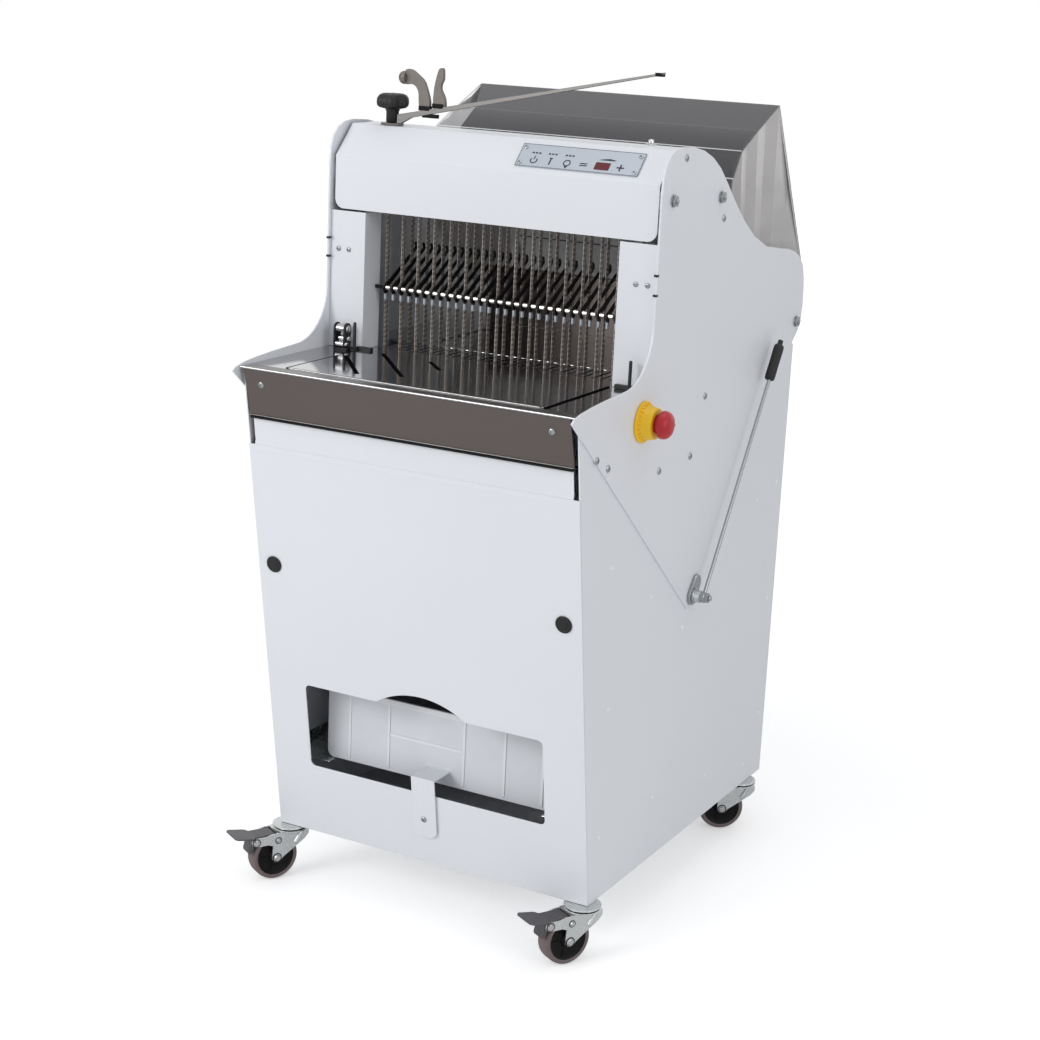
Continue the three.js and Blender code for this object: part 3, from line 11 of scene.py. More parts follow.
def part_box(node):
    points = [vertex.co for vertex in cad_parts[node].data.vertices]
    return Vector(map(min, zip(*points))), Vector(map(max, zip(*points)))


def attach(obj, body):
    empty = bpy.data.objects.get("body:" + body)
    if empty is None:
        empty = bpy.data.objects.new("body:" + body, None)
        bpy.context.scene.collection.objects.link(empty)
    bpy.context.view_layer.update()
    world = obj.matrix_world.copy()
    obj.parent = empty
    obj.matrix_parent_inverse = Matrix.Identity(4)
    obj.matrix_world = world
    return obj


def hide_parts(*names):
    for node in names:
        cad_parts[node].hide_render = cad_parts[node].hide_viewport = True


bl_info = {
    "name": "Bread slicer",
    "version": (1, 0, 0),
    "blender": (4, 5, 0),
    "location": "3D Viewport > Sidebar > Slicer",
    "description": "Builds the looks of a floor-standing bread slicer on its frame",
    "category": "Object",
}

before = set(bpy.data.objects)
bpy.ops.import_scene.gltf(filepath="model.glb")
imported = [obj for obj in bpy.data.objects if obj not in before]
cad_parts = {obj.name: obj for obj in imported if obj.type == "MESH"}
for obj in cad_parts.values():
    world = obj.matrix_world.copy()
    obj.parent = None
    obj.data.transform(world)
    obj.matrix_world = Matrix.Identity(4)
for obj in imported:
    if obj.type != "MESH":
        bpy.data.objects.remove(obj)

ALONG_X = Vector((1, 0, 0))
ALONG_Y = Vector((0, 1, 0))
ALONG_Z = Vector((0, 0, 1))
SIDES = (-1, 1)

# The drawing's zero point: middle of the cabinet, foot of the front panel, floor. Drawing sizes are millimetres.
# Outlines are pairs of the place's first and second axis, profiles are pairs of radius and height.
CABINET_DEPTH = 650
MIDDLE = (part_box("side_panel_left")[0].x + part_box("side_panel_right")[1].x) / 2
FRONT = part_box("rear_panel")[1].y - CABINET_DEPTH / 1000
DRAWING = Matrix.Translation((MIDDLE, FRONT, 0)) @ Matrix.Scale(0.001, 4)

# Faces on which pieces of several groups stand, and the gap that the frame leaves between its pieces
FIT = 0.3
SIDE_FACE = 270
PLATE_FACE = 273.3
TABLE_TOP = 828.5
INLAY_TOP = 830


def mm(length):
    """A length of the panel in the drawing's millimetres."""
    return length * 1000


def facing(point, normal, up=ALONG_Z):
    """Place with its origin at a point and its third axis along a normal; the first axis stays level."""
    third = Vector(normal).normalized()
    first = up.cross(third).normalized()
    second = third.cross(first)
    place = Matrix((first, second, third)).transposed().to_4x4()
    place.translation = Vector(point)
    return place


RIGHT_SIDE = facing((0, 0, 0), ALONG_X)
FRONT_SIDE = facing((0, 0, 0), -ALONG_Y)


def both_sides(inner, outer):
    """The spans between two distances to the left and to the right of the middle."""
    return (-outer, -inner), (inner, outer)


def around(place, count):
    """Places turned evenly about the third axis of a place."""
    return [place @ Matrix.Rotation(2 * math.pi * index / count, 4, "Z") for index in range(count)]


def arc(centre, radius, start, end, steps):
    """Points of an arc between two angles in degrees."""
    angles = [math.radians(start + (end - start) * index / steps) for index in range(steps + 1)]
    return [(centre[0] + radius * math.cos(a), centre[1] + radius * math.sin(a)) for a in angles]


def round_outline(radius, steps, centre=(0, 0)):
    """Points of a circle."""
    return arc(centre, radius, 0, 360, steps)[:-1]


def box_outline(left, bottom, right, top, radius, steps=5):
    """Points of a rectangle with rounded corners."""
    corners = [(right - radius, bottom + radius, -90), (right - radius, top - radius, 0)]
    corners += [(left + radius, top - radius, 90), (left + radius, bottom + radius, 180)]
    return [point for x, y, start in corners for point in arc((x, y), radius, start, start + 90, steps)]


def link_outline(start, start_radius, end, end_radius, steps=10):
    """Points of a link with two round ends."""
    along = math.degrees(math.atan2(end[1] - start[1], end[0] - start[0]))
    far = arc(end, end_radius, along - 90, along + 90, steps)
    return far + arc(start, start_radius, along + 90, along + 270, steps)


def new_object(name, data):
    """A new object in the scene."""
    item = bpy.data.objects.new(name, data)
    bpy.context.scene.collection.objects.link(item)
    return item


def round_edges(piece, width, angle):
    """Small rounding, in metres, of the edges that are sharper than an angle in degrees."""
    rounding = piece.modifiers.new("Rounded edges", "BEVEL")
    rounding.width = width
    rounding.segments = 2
    rounding.limit_method = "ANGLE"
    rounding.angle_limit = math.radians(angle)


class Form:
    """Geometry of one piece, drawn in millimetres. Each part is drawn in the place that is set."""

    def __init__(self, place=None):
        self.mesh = bmesh.new()
        self.place = place or Matrix.Identity(4)

    def add(self, points):
        """New corners at points of the place."""
        return [self.mesh.verts.new(self.place @ Vector(point)) for point in points]

    def loft(self, rings):
        """Closed rings of equal count joined one after another, with both ends closed."""
        loops = [self.add(ring) for ring in rings]
        count = len(loops[0])
        for lower, upper in zip(loops, loops[1:]):
            for index in range(count):
                after = (index + 1) % count
                self.mesh.faces.new((lower[index], lower[after], upper[after], upper[index]))
        self.mesh.faces.new(loops[0][::-1])
        self.mesh.faces.new(loops[-1])

    def carry(self, outline, start, end, chamfer=0.0):
        """Closed outline carried along the third axis, with its edges taken off at both ends."""
        rings = [(outline, start), (outline, end)]
        if chamfer:
            middle = Vector((sum(p[0] for p in outline), sum(p[1] for p in outline))) / len(outline)
            inset = 1 - chamfer / max((Vector(p) - middle).length for p in outline)
            small = [middle + (Vector(p) - middle) * inset for p in outline]
            rings = [(small, start), (outline, start + chamfer), (outline, end - chamfer), (small, end)]
        self.loft([[(p[0], p[1], height) for p in ring] for ring, height in rings])

    def turn(self, profile, centre=(0, 0, 0), steps=28, lobes=0, lobe=0.0):
        """Profile of (radius, height) pairs turned about the third axis. A radius of 0 closes an end."""
        x, y, z = centre
        rings = []
        for radius, height in profile:
            ring = []
            for index in range(steps if radius else 1):
                angle = 2 * math.pi * index / steps
                wide = radius and radius + lobe * math.cos(lobes * angle)
                ring.append((x + wide * math.cos(angle), y + wide * math.sin(angle), z + height))
            rings.append(self.add(ring))
        for lower, upper in zip(rings, rings[1:]):
            for index in range(steps):
                after = (index + 1) % steps
                corners = [lower[index % len(lower)], lower[after % len(lower)]]
                corners += [upper[after % len(upper)], upper[index % len(upper)]]
                self.mesh.faces.new(list(dict.fromkeys(corners)))

    def sheet(self, outline, holes, low, high):
        """Flat sheet with holes, between two heights."""
        edges = []
        for line in [outline] + holes:
            corners = self.add([(p[0], p[1], low) for p in line])
            edges += [self.mesh.edges.new((a, b)) for a, b in zip(corners, corners[1:] + corners[:1])]
        filled = bmesh.ops.triangle_fill(self.mesh, use_beauty=True, edges=edges)
        faces = [item for item in filled["geom"] if isinstance(item, bmesh.types.BMFace)]
        grown = bmesh.ops.extrude_face_region(self.mesh, geom=faces)
        moved = [item for item in grown["geom"] if isinstance(item, bmesh.types.BMVert)]
        lift = self.place.to_3x3() @ Vector((0, 0, high - low))
        bmesh.ops.translate(self.mesh, verts=moved, vec=lift)

    def block(self, low, high, chamfer=0.5):
        """Block with its long edges taken off."""
        (x0, y0, z0), (x1, y1, z1) = low, high
        outline = [(x0 + chamfer, y0), (x1 - chamfer, y0), (x1, y0 + chamfer), (x1, y1 - chamfer)]
        outline += [(x1 - chamfer, y1), (x0 + chamfer, y1), (x0, y1 - chamfer), (x0, y0 + chamfer)]
        self.carry(outline, z0, z1)

    def rod(self, start, end, radius, steps=16, chamfer=0.4):
        """Round bar between two points."""
        kept = self.place
        line = Vector(end) - Vector(start)
        up = ALONG_Y if abs(line.normalized().z) > 0.9 else ALONG_Z
        self.place = kept @ facing(start, line, up)
        self.carry(round_outline(radius, steps), 0, line.length, chamfer)
        self.place = kept

    def piece(self, name, body, slot, finish, replaces=(), sharp=35, bevel=0.0):
        """The finished piece, riding on its body."""
        bmesh.ops.remove_doubles(self.mesh, verts=self.mesh.verts[:], dist=0.001)
        self.mesh.transform(DRAWING)
        bmesh.ops.recalc_face_normals(self.mesh, faces=self.mesh.faces[:])
        for face in self.mesh.faces:
            face.smooth = True
        for edge in self.mesh.edges:
            edge.smooth = len(edge.link_faces) == 2 and edge.calc_face_angle(0) < math.radians(sharp)
        data = bpy.data.meshes.new(name)
        self.mesh.to_mesh(data)
        self.mesh.free()
        data.materials.append(bpy.data.materials[finish])
        piece = new_object(name, data)
        if bevel:
            round_edges(piece, bevel / 1000, 40)
        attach(piece, body)
        if replaces:
            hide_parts(*replaces)


class Value:
    """A shader socket. Arithmetic on it adds Math nodes."""

    def __init__(self, shader, socket):
        self.shader = shader
        self.socket = socket

    def operate(self, operation, *terms):
        """A Math node of this value and these terms."""
        settings = {"operation": operation}
        return self.shader.node("ShaderNodeMath", settings, dict(enumerate((self, *terms))))

    def __add__(self, other):
        return self.operate("ADD", other)

    def __sub__(self, other):
        return self.operate("SUBTRACT", other)

    def __rsub__(self, other):
        return self * -1 + other

    def __mul__(self, other):
        return self.operate("MULTIPLY", other)

    __radd__ = __add__
    __rmul__ = __mul__

    def between(self, low, high):
        """This value from 0 to 1, laid between two others."""
        return self * (high - low) + low


class Shader:
    """Node tree of one finish or of the room around the piece."""

    def __init__(self, name, owners=None):
        self.owner = (bpy.data.materials if owners is None else owners).new(name)
        self.owner.use_nodes = True
        self.tree = self.owner.node_tree
        self.tree.nodes.clear()

    def node(self, kind, settings=None, inputs=None, output=0):
        """A node with its settings and inputs; the value is one of its outputs."""
        node = self.tree.nodes.new(kind)
        for name, value in (settings or {}).items():
            setattr(node, name, value)
        for name, value in (inputs or {}).items():
            if isinstance(value, Value):
                self.tree.links.new(value.socket, node.inputs[name])
            else:
                node.inputs[name].default_value = value
        return Value(self, node.outputs[output]) if node.outputs else None

    def place(self, stretch=(1, 1, 1)):
        """Position in the machine's frame, stretched."""
        coordinates = self.node("ShaderNodeTexCoord", output="Object")
        return self.node("ShaderNodeVectorMath", {"operation": "MULTIPLY"}, {0: coordinates, 1: stretch})

    def noise(self, scale, stretch=(1, 1, 1), detail=3.0, roughness=0.55):
        """Soft noise from 0 to 1."""
        inputs = {"Vector": self.place(stretch), "Scale": scale, "Detail": detail, "Roughness": roughness}
        return self.node("ShaderNodeTexNoise", {"noise_dimensions": "3D"}, inputs)

    def mix(self, first, second, factor):
        """Colour between two colours."""
        settings = {"data_type": "RGBA", "clamp_factor": True}
        return self.node("ShaderNodeMix", settings, {0: factor, 6: first, 7: second}, output=2)

    def shade(self, colour, strength, variation):
        """Colour made a little darker or lighter by a value from 0 to 1."""
        dark = [c * (1 - strength) for c in colour[:3]] + [1.0]
        light = [min(c * (1 + strength), 1.0) for c in colour[:3]] + [1.0]
        return self.mix(dark, light, variation)

    def bump(self, height, distance, strength=1.0):
        """Normal of a surface with this height."""
        inputs = {"Height": height, "Distance": distance, "Strength": strength}
        return self.node("ShaderNodeBump", inputs=inputs)

    def finish(self, **inputs):
        """Ends the tree in one principled surface."""
        named = {name.replace("_", " "): value for name, value in inputs.items()}
        surface = self.node("ShaderNodeBsdfPrincipled", inputs=named)
        self.node("ShaderNodeOutputMaterial", inputs={"Surface": surface})
        return self.owner


def paint(name, colour, gloss=0.42):
    """Baked paint: even colour, a faint orange peel and slight changes of gloss."""
    shader = Shader(name)
    cloud = shader.noise(3.5)
    peel = shader.noise(420, detail=1.0)
    grain = shader.noise(60, detail=4.0)
    shader.finish(
        Base_Color=shader.shade(colour, 0.025, cloud),
        Roughness=grain.between(gloss - 0.06, gloss + 0.08),
        Normal=shader.bump(peel, 0.00004, 0.5),
        Coat_Weight=cloud.between(0.05, 0.2),
    )


def brushed(name, colour, along, rough=0.34, strength=0.16):
    """Steel with a grain along one direction."""
    shader = Shader(name)
    stretch = [14 if part else 900 for part in along]
    grain = shader.noise(1.0, stretch, detail=4.0, roughness=0.7)
    cloud = shader.noise(4.0)
    tone = grain * 0.65 + cloud * 0.35
    shader.finish(
        Base_Color=shader.shade(colour, strength, tone),
        Metallic=0.95,
        Roughness=tone.between(rough - 0.1, rough + 0.14),
        Normal=shader.bump(grain, 0.00006, 0.35),
    )


def ground(name, colour, dark, pitch):
    """Blade steel with painted glints: bright and dark bands, one after another up the blade at the scallops' pitch,
    stand in for the light and shade on the ground hollows of its cutting side.
    """
    shader = Shader(name)
    heights = shader.node("ShaderNodeSeparateXYZ", inputs={0: shader.place()}, output="Z")
    blur = shader.noise(90, detail=3.0)
    glint_wave = (heights * (2 * math.pi / pitch) + blur * 3.0).operate("SINE") * 0.5 + 0.5
    grain = shader.noise(1.0, (700, 700, 25), detail=4.0, roughness=0.7)
    tone = glint_wave * 0.45 + grain * 0.55
    shader.finish(
        Base_Color=shader.mix([*dark[:3], 1.0], [*colour[:3], 1.0], tone),
        Metallic=0.2,
        Roughness=tone.between(0.55, 0.35),
        Normal=shader.bump(tone, 0.0004, 0.5),
    )


def polished(name, colour, rough=0.1):
    """Bright steel with fine scratches."""
    shader = Shader(name)
    scratches = shader.noise(1.0, (40, 700, 300), detail=5.0, roughness=0.75)
    smears = shader.noise(11, detail=4.0)
    shader.finish(
        Base_Color=shader.shade(colour, 0.06, smears),
        Metallic=1.0,
        Roughness=(scratches * 0.5 + smears * 0.5).between(rough * 0.5, rough * 1.6),
        Normal=shader.bump(scratches, 0.00001, 0.2),
    )


def plated(name, colour, rough=0.32):
    """Zinc plating: small crystals of slightly different brightness."""
    shader = Shader(name)
    inputs = {"Vector": shader.place(), "Scale": 260.0}
    crystal = shader.node("ShaderNodeTexVoronoi", {"feature": "F1"}, inputs)
    cloud = shader.noise(35, detail=4.0)
    tone = crystal * 0.3 + cloud * 0.7
    shader.finish(
        Base_Color=shader.shade(colour, 0.08, tone),
        Metallic=0.9,
        Roughness=tone.between(rough - 0.06, rough + 0.08),
        Normal=shader.bump(cloud, 0.00001, 0.3),
    )


def moulded(name, colour, rough=0.48, grain_scale=650.0, shine=0.5):
    """Moulded plastic or rubber with a fine grain."""
    shader = Shader(name)
    grain = shader.noise(grain_scale, detail=2.0)
    cloud = shader.noise(14, detail=3.0)
    shader.finish(
        Base_Color=shader.shade(colour, 0.08, cloud),
        Roughness=grain.between(rough - 0.08, rough + 0.1),
        Specular_IOR_Level=shine,
        Normal=shader.bump(grain, 0.00008, 0.4),
    )


def cast(name, colour):
    """Painted casting with a coarse skin."""
    shader = Shader(name)
    skin = shader.noise(170, detail=5.0, roughness=0.65)
    cloud = shader.noise(9)
    shader.finish(
        Base_Color=shader.shade(colour, 0.16, cloud),
        Metallic=0.25,
        Roughness=skin.between(0.45, 0.7),
        Normal=shader.bump(skin, 0.0003, 0.5),
    )


def smoked(name, colour, clear):
    """Smoked clear plastic: see-through from the front, denser and brighter at a grazing angle."""
    shader = Shader(name)
    edge = shader.node("ShaderNodeLayerWeight", inputs={"Blend": 0.35}, output="Facing")
    haze = shader.noise(7, (1, 1, 3), detail=3.0)
    dust = shader.noise(300, detail=2.0)
    shader.finish(
        Base_Color=shader.shade(colour, 0.12, haze),
        Roughness=dust.between(0.08, 0.2),
        Alpha=edge * 0.3 + haze * 0.08 + clear,
        Specular_IOR_Level=0.6,
        Normal=shader.bump(haze, 0.0004, 0.2),
    )


def display(name, colour):
    """Dark red window of a display, faintly lit."""
    shader = Shader(name)
    glow = shader.noise(180, detail=1.0)
    shader.finish(
        Base_Color=shader.shade(colour, 0.3, glow),
        Roughness=glow.between(0.12, 0.2),
        Emission_Color=shader.shade(colour, 0.2, glow),
        Emission_Strength=0.15,
    )


def colour_property(name, description, value):
    """Colour of a finish."""
    return FloatVectorProperty(
        name=name, description=description, default=value, size=3, min=0, max=1, subtype="COLOR"
    )


def size_property(name, description, value):
    """Length of a piece, in metres."""
    return FloatProperty(name=name, description=description, default=value, min=0, precision=4, unit="LENGTH")


def share_property(name, description, value):
    """Share from 0 to 1."""
    return FloatProperty(name=name, description=description, default=value, min=0, max=1)


class SlicerColours(bpy.types.PropertyGroup):
    """Colours of the slicer's finishes."""

    white: colour_property("White paint", "Baked paint of the panels", (0.8, 0.82, 0.86))
    fascia: colour_property("Fascia", "Brushed sheet under the table's edge", (0.14, 0.12, 0.113))
    steel: colour_property("Polished steel", "Tables of the machine", (0.5, 0.5, 0.51))
    arm: colour_property("Arm", "Flat arm on the hood and rim of the inlay", (0.17, 0.165, 0.16))
    # Blades: the bright colour of the painted glints on the blades' hollows. Blade backs: the blades' dark steel, also
    # the painted shade between the glints.
    blade: colour_property("Blades", "Bright hollows of the blades", (0.78, 0.7, 0.64))
    blade_dark: colour_property("Blade backs", "Dark backs of the blades", (0.12, 0.1, 0.09))
    edge: colour_property("Blade edges", "Ground edge of the blades", (0.75, 0.72, 0.68))
    comb: colour_property("Comb", "Fingers of the hold-down comb", (0.03, 0.027, 0.025))
    zinc: colour_property("Zinc", "Plated forks and bars", (0.6, 0.62, 0.62))
    screw: colour_property("Screws", "Screws and nuts", (0.36, 0.38, 0.39))
    # Rivets: whiter than the panels' paint, a painted highlight of their domed heads.
    rivet_highlight: colour_property("Rivets", "Rivet heads with painted highlight in the cabinet", (0.95, 0.95, 0.96))
    pedal: colour_property("Pedals", "Brake pedals of the casters", (0.12, 0.115, 0.122))
    horn: colour_property("Horns", "Cast horns on the arm", (0.19, 0.17, 0.155))
    black: colour_property("Black", "Black plastic", (0.012, 0.012, 0.013))
    # Wheel discs: also the black of the painted shadow in the table's slots.
    hub: colour_property("Wheel discs", "Sides of the wheels", (0.006, 0.005, 0.005))
    tread: colour_property("Treads", "Rubber of the wheels", (0.17, 0.13, 0.13))
    drawer: colour_property("Drawer", "Light grey plastic of the drawer", (0.75, 0.77, 0.81))
    # Drawer ribs: lighter than the drawer, a painted highlight of the raised ribs and rim.
    drawer_rib_highlight: colour_property("Drawer ribs with painted highlight", "Raised ribs of the drawer", (0.86, 0.87, 0.9))
    plate: colour_property("Control plate", "Printed plate on the hood", (0.46, 0.5, 0.56))
    ink: colour_property("Ink", "Printed signs on the control plate", (0.03, 0.035, 0.05))
    display: colour_property("Display", "Red window of the control plate", (0.1, 0.002, 0.004))
    castings: colour_property("Castings", "Motor, beam and pulleys", (0.16, 0.17, 0.18))
    yellow: colour_property("Yellow", "Collar of the emergency stop", (0.93, 0.56, 0.01))
    red: colour_property("Red", "Mushroom of the emergency stop", (0.5, 0.008, 0.02))
    smoke: colour_property("Smoked", "Top of the rear cover", (0.06, 0.06, 0.067))
    clear: colour_property("Clear", "Sides of the rear cover", (0.58, 0.56, 0.56))
    # Cut edges: the light colour of the painted highlights along the cover's edges and bends; it also tints the clear
    # wing.
    rim: colour_property("Cover edge highlights", "Polished edges of the rear cover", (0.75, 0.75, 0.76))
    floor: colour_property("Floor", "Floor and backdrop", (0.93, 0.93, 0.93))


class SlicerSizes(bpy.types.PropertyGroup):
    """Sizes of the slicer's small pieces."""

    screw_radius: size_property("Screw head", "Radius of the plates' screw heads", 0.0055)
    small_screw_radius: size_property("Small screw head", "Radius of screw heads on the control plate", 0.0035)
    rivet_radius: size_property("Rivet head", "Radius of the rivets in the cabinet's sides", 0.003)
    washer_radius: size_property("Washer", "Radius of the washers under the nuts", 0.009)
    scallop_pitch: size_property("Scallop pitch", "Distance between the scallops of a blade", 0.0075)
    scallop_depth: size_property("Scallop depth", "Depth of the scallops of a blade", 0.0022)
    finger_thickness: size_property("Finger thickness", "Thickness of the comb's fingers", 0.0028)
    key_radius: size_property("Sign radius", "Radius of the round signs on the control plate", 0.0058)
    edge_round: size_property("Edge rounding", "Rounding of the sheet edges", 0.0006)
    knob_lobes: IntProperty(name="Knob lobes", description="Lobes of the star knob", default=6, min=3, max=12)
    smoked_density: share_property("Top density", "Least opacity of the cover's top", 0.64)
    clear_density: share_property("Side density", "Least opacity of the cover's sides", 0.66)


NODE_FINISH = {
    "White paint": (
        "base_plate side_panel_right side_panel_left rear_panel upper_plate_right upper_plate_left "
        "column_right column_left hood drawer_tab"
    ),
    "Brushed steel": "fascia pusher",
    "Polished steel": "front_table table_inlay rear_table",
    "Arm steel": "swivel_arm",
    "Zinc": "guide_rods_right guide_rods_left lever_shaft drawer_runner_right drawer_runner_left crankshaft",
    "Castings": "drive_beam connecting_rod_front connecting_rod_rear motor_pulley",
    "Control plate": "control_plate",
    "Black rubber": "drive_belt",
    "Cast horn": "arm_horn_left arm_horn_right",
}


class SLICER_OT_finishes(bpy.types.Operator):
    """Make the finishes and give them to the frame's pieces"""

    bl_idname = "slicer.finishes"
    bl_label = "Finishes"

    def execute(self, context):
        colours = context.scene.slicer_colours
        sizes = context.scene.slicer_sizes
        paint("White paint", colours.white)
        brushed("Brushed steel", colours.fascia, (1, 0, 0))
        polished("Polished steel", colours.steel)
        brushed("Arm steel", colours.arm, (1, 0, 0), rough=0.3)
        # Painted glints and shade: bands of the blades' bright and dark colours up every blade.
        ground("Blade steel", colours.blade, colours.blade_dark, sizes.scallop_pitch)
        polished("Blade edge", colours.edge, rough=0.16)
        brushed("Comb steel", colours.comb, (0, 1, 0), rough=0.36, strength=0.3)
        # The comb's steel stubs get a light grey plastic finish in the control plate's colour: painted reflection.
        moulded("Stub painted reflection", colours.plate, rough=0.4, grain_scale=900)
        plated("Zinc", colours.zinc, rough=0.26)
        plated("Screw steel", colours.screw, rough=0.24)
        paint("Rivet heads with painted highlight", colours.rivet_highlight, gloss=0.3)
        plated("Pedal steel", colours.pedal, rough=0.42)
        cast("Cast horn", colours.horn)
        cast("Castings", colours.castings)
        moulded("Black plastic", colours.black, shine=0.35)
        moulded("Black rubber", colours.black, rough=0.62, grain_scale=300, shine=0.1)
        # Painted shadow of the table's slots and gaps: the wheel discs' black, with no shine.
        moulded("Painted slot shadow", colours.hub, rough=0.7, shine=0.0)
        moulded("Wheel disc", colours.hub, rough=0.4, shine=0.15)
        moulded("Tread rubber", colours.tread, rough=0.6, grain_scale=240)
        moulded("Light grey plastic", colours.drawer, rough=0.42, grain_scale=900)
        moulded("Drawer ribs with painted highlight", colours.drawer_rib_highlight, rough=0.36, grain_scale=900)
        brushed("Control plate", colours.plate, (1, 0, 0), rough=0.42, strength=0.05)
        moulded("Printed ink", colours.ink, rough=0.5, grain_scale=1200)
        moulded("Safety yellow", colours.yellow, rough=0.36)
        moulded("Safety red", colours.red, rough=0.34)
        smoked("Smoked", colours.smoke, sizes.smoked_density)
        smoked("Clear sides", colours.clear, sizes.clear_density)
        smoked("Clear wing", colours.rim, sizes.clear_density * 0.2)
        # Painted highlight of the cover's edges and bends.
        moulded("Cover edge highlights", colours.rim, rough=0.25)
        display("Display", colours.display)
        for finish, nodes in NODE_FINISH.items():
            for name in nodes.split():
                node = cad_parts[name]
                for slot in node.material_slots:
                    slot.material = bpy.data.materials[finish]
                weld = node.modifiers.new("Joined corners", "WELD")
                weld.merge_threshold = 0.00001
                round_edges(node, sizes.edge_round, 35)
        return {"FINISHED"}


BLADE_COUNT = 30
BLADE_PITCH = 13.85
BLADE_HALF = 0.4
BLADE_WIDTH = 11.2
EDGE_WIDTH = 4.4
LOWER_BAR, UPPER_BAR = 787, 1077
BAR_HALF = (264, 10, 12)
LUG_HEIGHT = 757
# Name, depth of the bars, depth of the blades' backs, and number of the first blade
BLADE_FRAMES = (("blade_frame_front", 160, 150.4, 0), ("blade_frame_rear", 200, 198.4, 1))


def row_place(index, count):
    """Place across of one blade, or of one gap between the blades, in a row of them."""
    return (index - (count - 1) / 2) * BLADE_PITCH


def scalloped_edge(form, x, rear, low, high, sizes):
    """Ground edge of one blade: hollows on both sides and a wavy cutting line to the rear."""
    deep = mm(sizes.scallop_depth)
    thick, thin = 0.42, 0.12
    steps = 4 * round((high - low) / mm(sizes.scallop_pitch))
    back, ground_line = rear - EDGE_WIDTH, rear - EDGE_WIDTH / 2
    rings = []
    for index in range(steps + 1):
        z = low + (high - low) * index / steps
        hollow = (1 - math.cos(math.pi * index / 2)) / 2
        half = thick - (thick - thin) * hollow
        line = [(x - BLADE_HALF, back), (x + BLADE_HALF, back), (x + half, ground_line), (x, rear - deep * hollow)]
        rings.append([(a, b, z) for a, b in line + [(x - half, ground_line)]])
    form.loft(rings)


class SLICER_OT_blades(bpy.types.Operator):
    """Build both blade frames with their scalloped blades"""

    bl_idname = "slicer.blades"
    bl_label = "Blade frames"

    def execute(self, context):
        sizes = context.scene.slicer_sizes
        long, deep, tall = BAR_HALF
        for number, (name, depth, front, first) in enumerate(BLADE_FRAMES):
            bars = Form()
            for height in (LOWER_BAR, UPPER_BAR):
                bars.block((-long, depth - deep, height - tall), (long, depth + deep, height + tall), 1)
            bars.place = RIGHT_SIDE
            lug = link_outline((depth, LUG_HEIGHT), 12, (depth, LOWER_BAR), deep)
            bars.carry(lug, *both_sides(238, 244)[number])
            bars.carry(round_outline(6, 20, (depth, LUG_HEIGHT)), *both_sides(227.7, 238.3)[number], 0.5)
            bars.piece(name + "_bars", name, "polished_steel", "Blade steel", replaces=[name])
            stiles = Form()
            for left, right in both_sides(224, 240):
                stiles.block((left, depth - deep / 2, LOWER_BAR), (right, depth + deep / 2, UPPER_BAR), 1.5)
            stiles.piece(name + "_stiles", name, "polished_steel", "White paint")
            strips, edges = Form(), Form()
            rear = front + BLADE_WIDTH
            for index in range(first, BLADE_COUNT, 2):
                x = row_place(index, BLADE_COUNT)
                strip_end = (x + BLADE_HALF, rear - EDGE_WIDTH, UPPER_BAR)
                strips.block((x - BLADE_HALF, front, LOWER_BAR), strip_end, 0.1)
                scalloped_edge(edges, x, rear, LOWER_BAR + tall, UPPER_BAR - tall, sizes)
            strips.piece(name + "_strips", name, "polished_steel", "Blade steel")
            edges.piece(name + "_edges", name, "polished_steel", "Blade edge", sharp=12)
        return {"FINISHED"}


COMB_PIVOT = (139, 922)
COMB_ROD_END = 209.7
SPACER_GAP = 3
FINGER_BACK = [(-4, 0), (-3, -5), (0, -8), (0.5, -10), (6.5, -10), (5, -2.2), (87, 48.5), (90.2, 52), (89, 58)]
FINGER_HOOK = [(86, 61), (83.4, 60.4), (85.6, 56.6), (86.2, 53.6), (84.6, 51.6), (0, 2.8), (-3, 3)]


class SLICER_OT_comb(bpy.types.Operator):
    """Build the hold-down comb: bar, spacers and hooked fingers"""

    bl_idname = "slicer.comb"
    bl_label = "Hold-down comb"

    def execute(self, context):
        half = mm(context.scene.slicer_sizes.finger_thickness) / 2
        depth, height = COMB_PIVOT
        fingers, spacers, stubs = Form(RIGHT_SIDE), Form(RIGHT_SIDE), Form(RIGHT_SIDE)
        finger = [(depth + y, height + z) for y, z in FINGER_BACK + FINGER_HOOK]
        stub = box_outline(depth + 0.5, height - 19, depth + 6.7, height - 7, 1.2, steps=2)
        gaps = BLADE_COUNT - 1
        for index in range(gaps):
            x = row_place(index, gaps)
            fingers.carry(finger, x - half, x + half, 0.3)
            stubs.carry(stub, x - half, x + half, 0.3)
            if index < gaps - 1:
                ends = (x + SPACER_GAP, x + BLADE_PITCH - SPACER_GAP)
                spacers.carry(round_outline(3.6, 16, COMB_PIVOT), *ends, 0.8)
        fingers.carry(round_outline(2.8, 18, COMB_PIVOT), -COMB_ROD_END, COMB_ROD_END)
        fingers.piece("comb_fingers", "hold_down_comb", "dark_steel", "Comb steel", replaces=["hold_down_comb"])
        spacers.piece("comb_spacers", "hold_down_comb", "dark_steel", "Blade edge")
        # Light grey stubs: painted reflection of their steel.
        stubs.piece("comb_stubs", "hold_down_comb", "dark_steel", "Stub painted reflection")
        return {"FINISHED"}


def screw_head(form, point, normal, radius, height=2.2, socket=True):
    """Domed head with a round socket, standing on a face."""
    form.place = facing(point, normal)
    profile = [(radius, 0), (radius, height * 0.35), (radius * 0.86, height * 0.75), (radius * 0.6, height)]
    if socket:
        profile += [(radius * 0.42, height), (radius * 0.36, height * 0.45), (0, height * 0.45)]
    else:
        profile += [(0, height * 1.08)]
    form.turn(profile, steps=20)


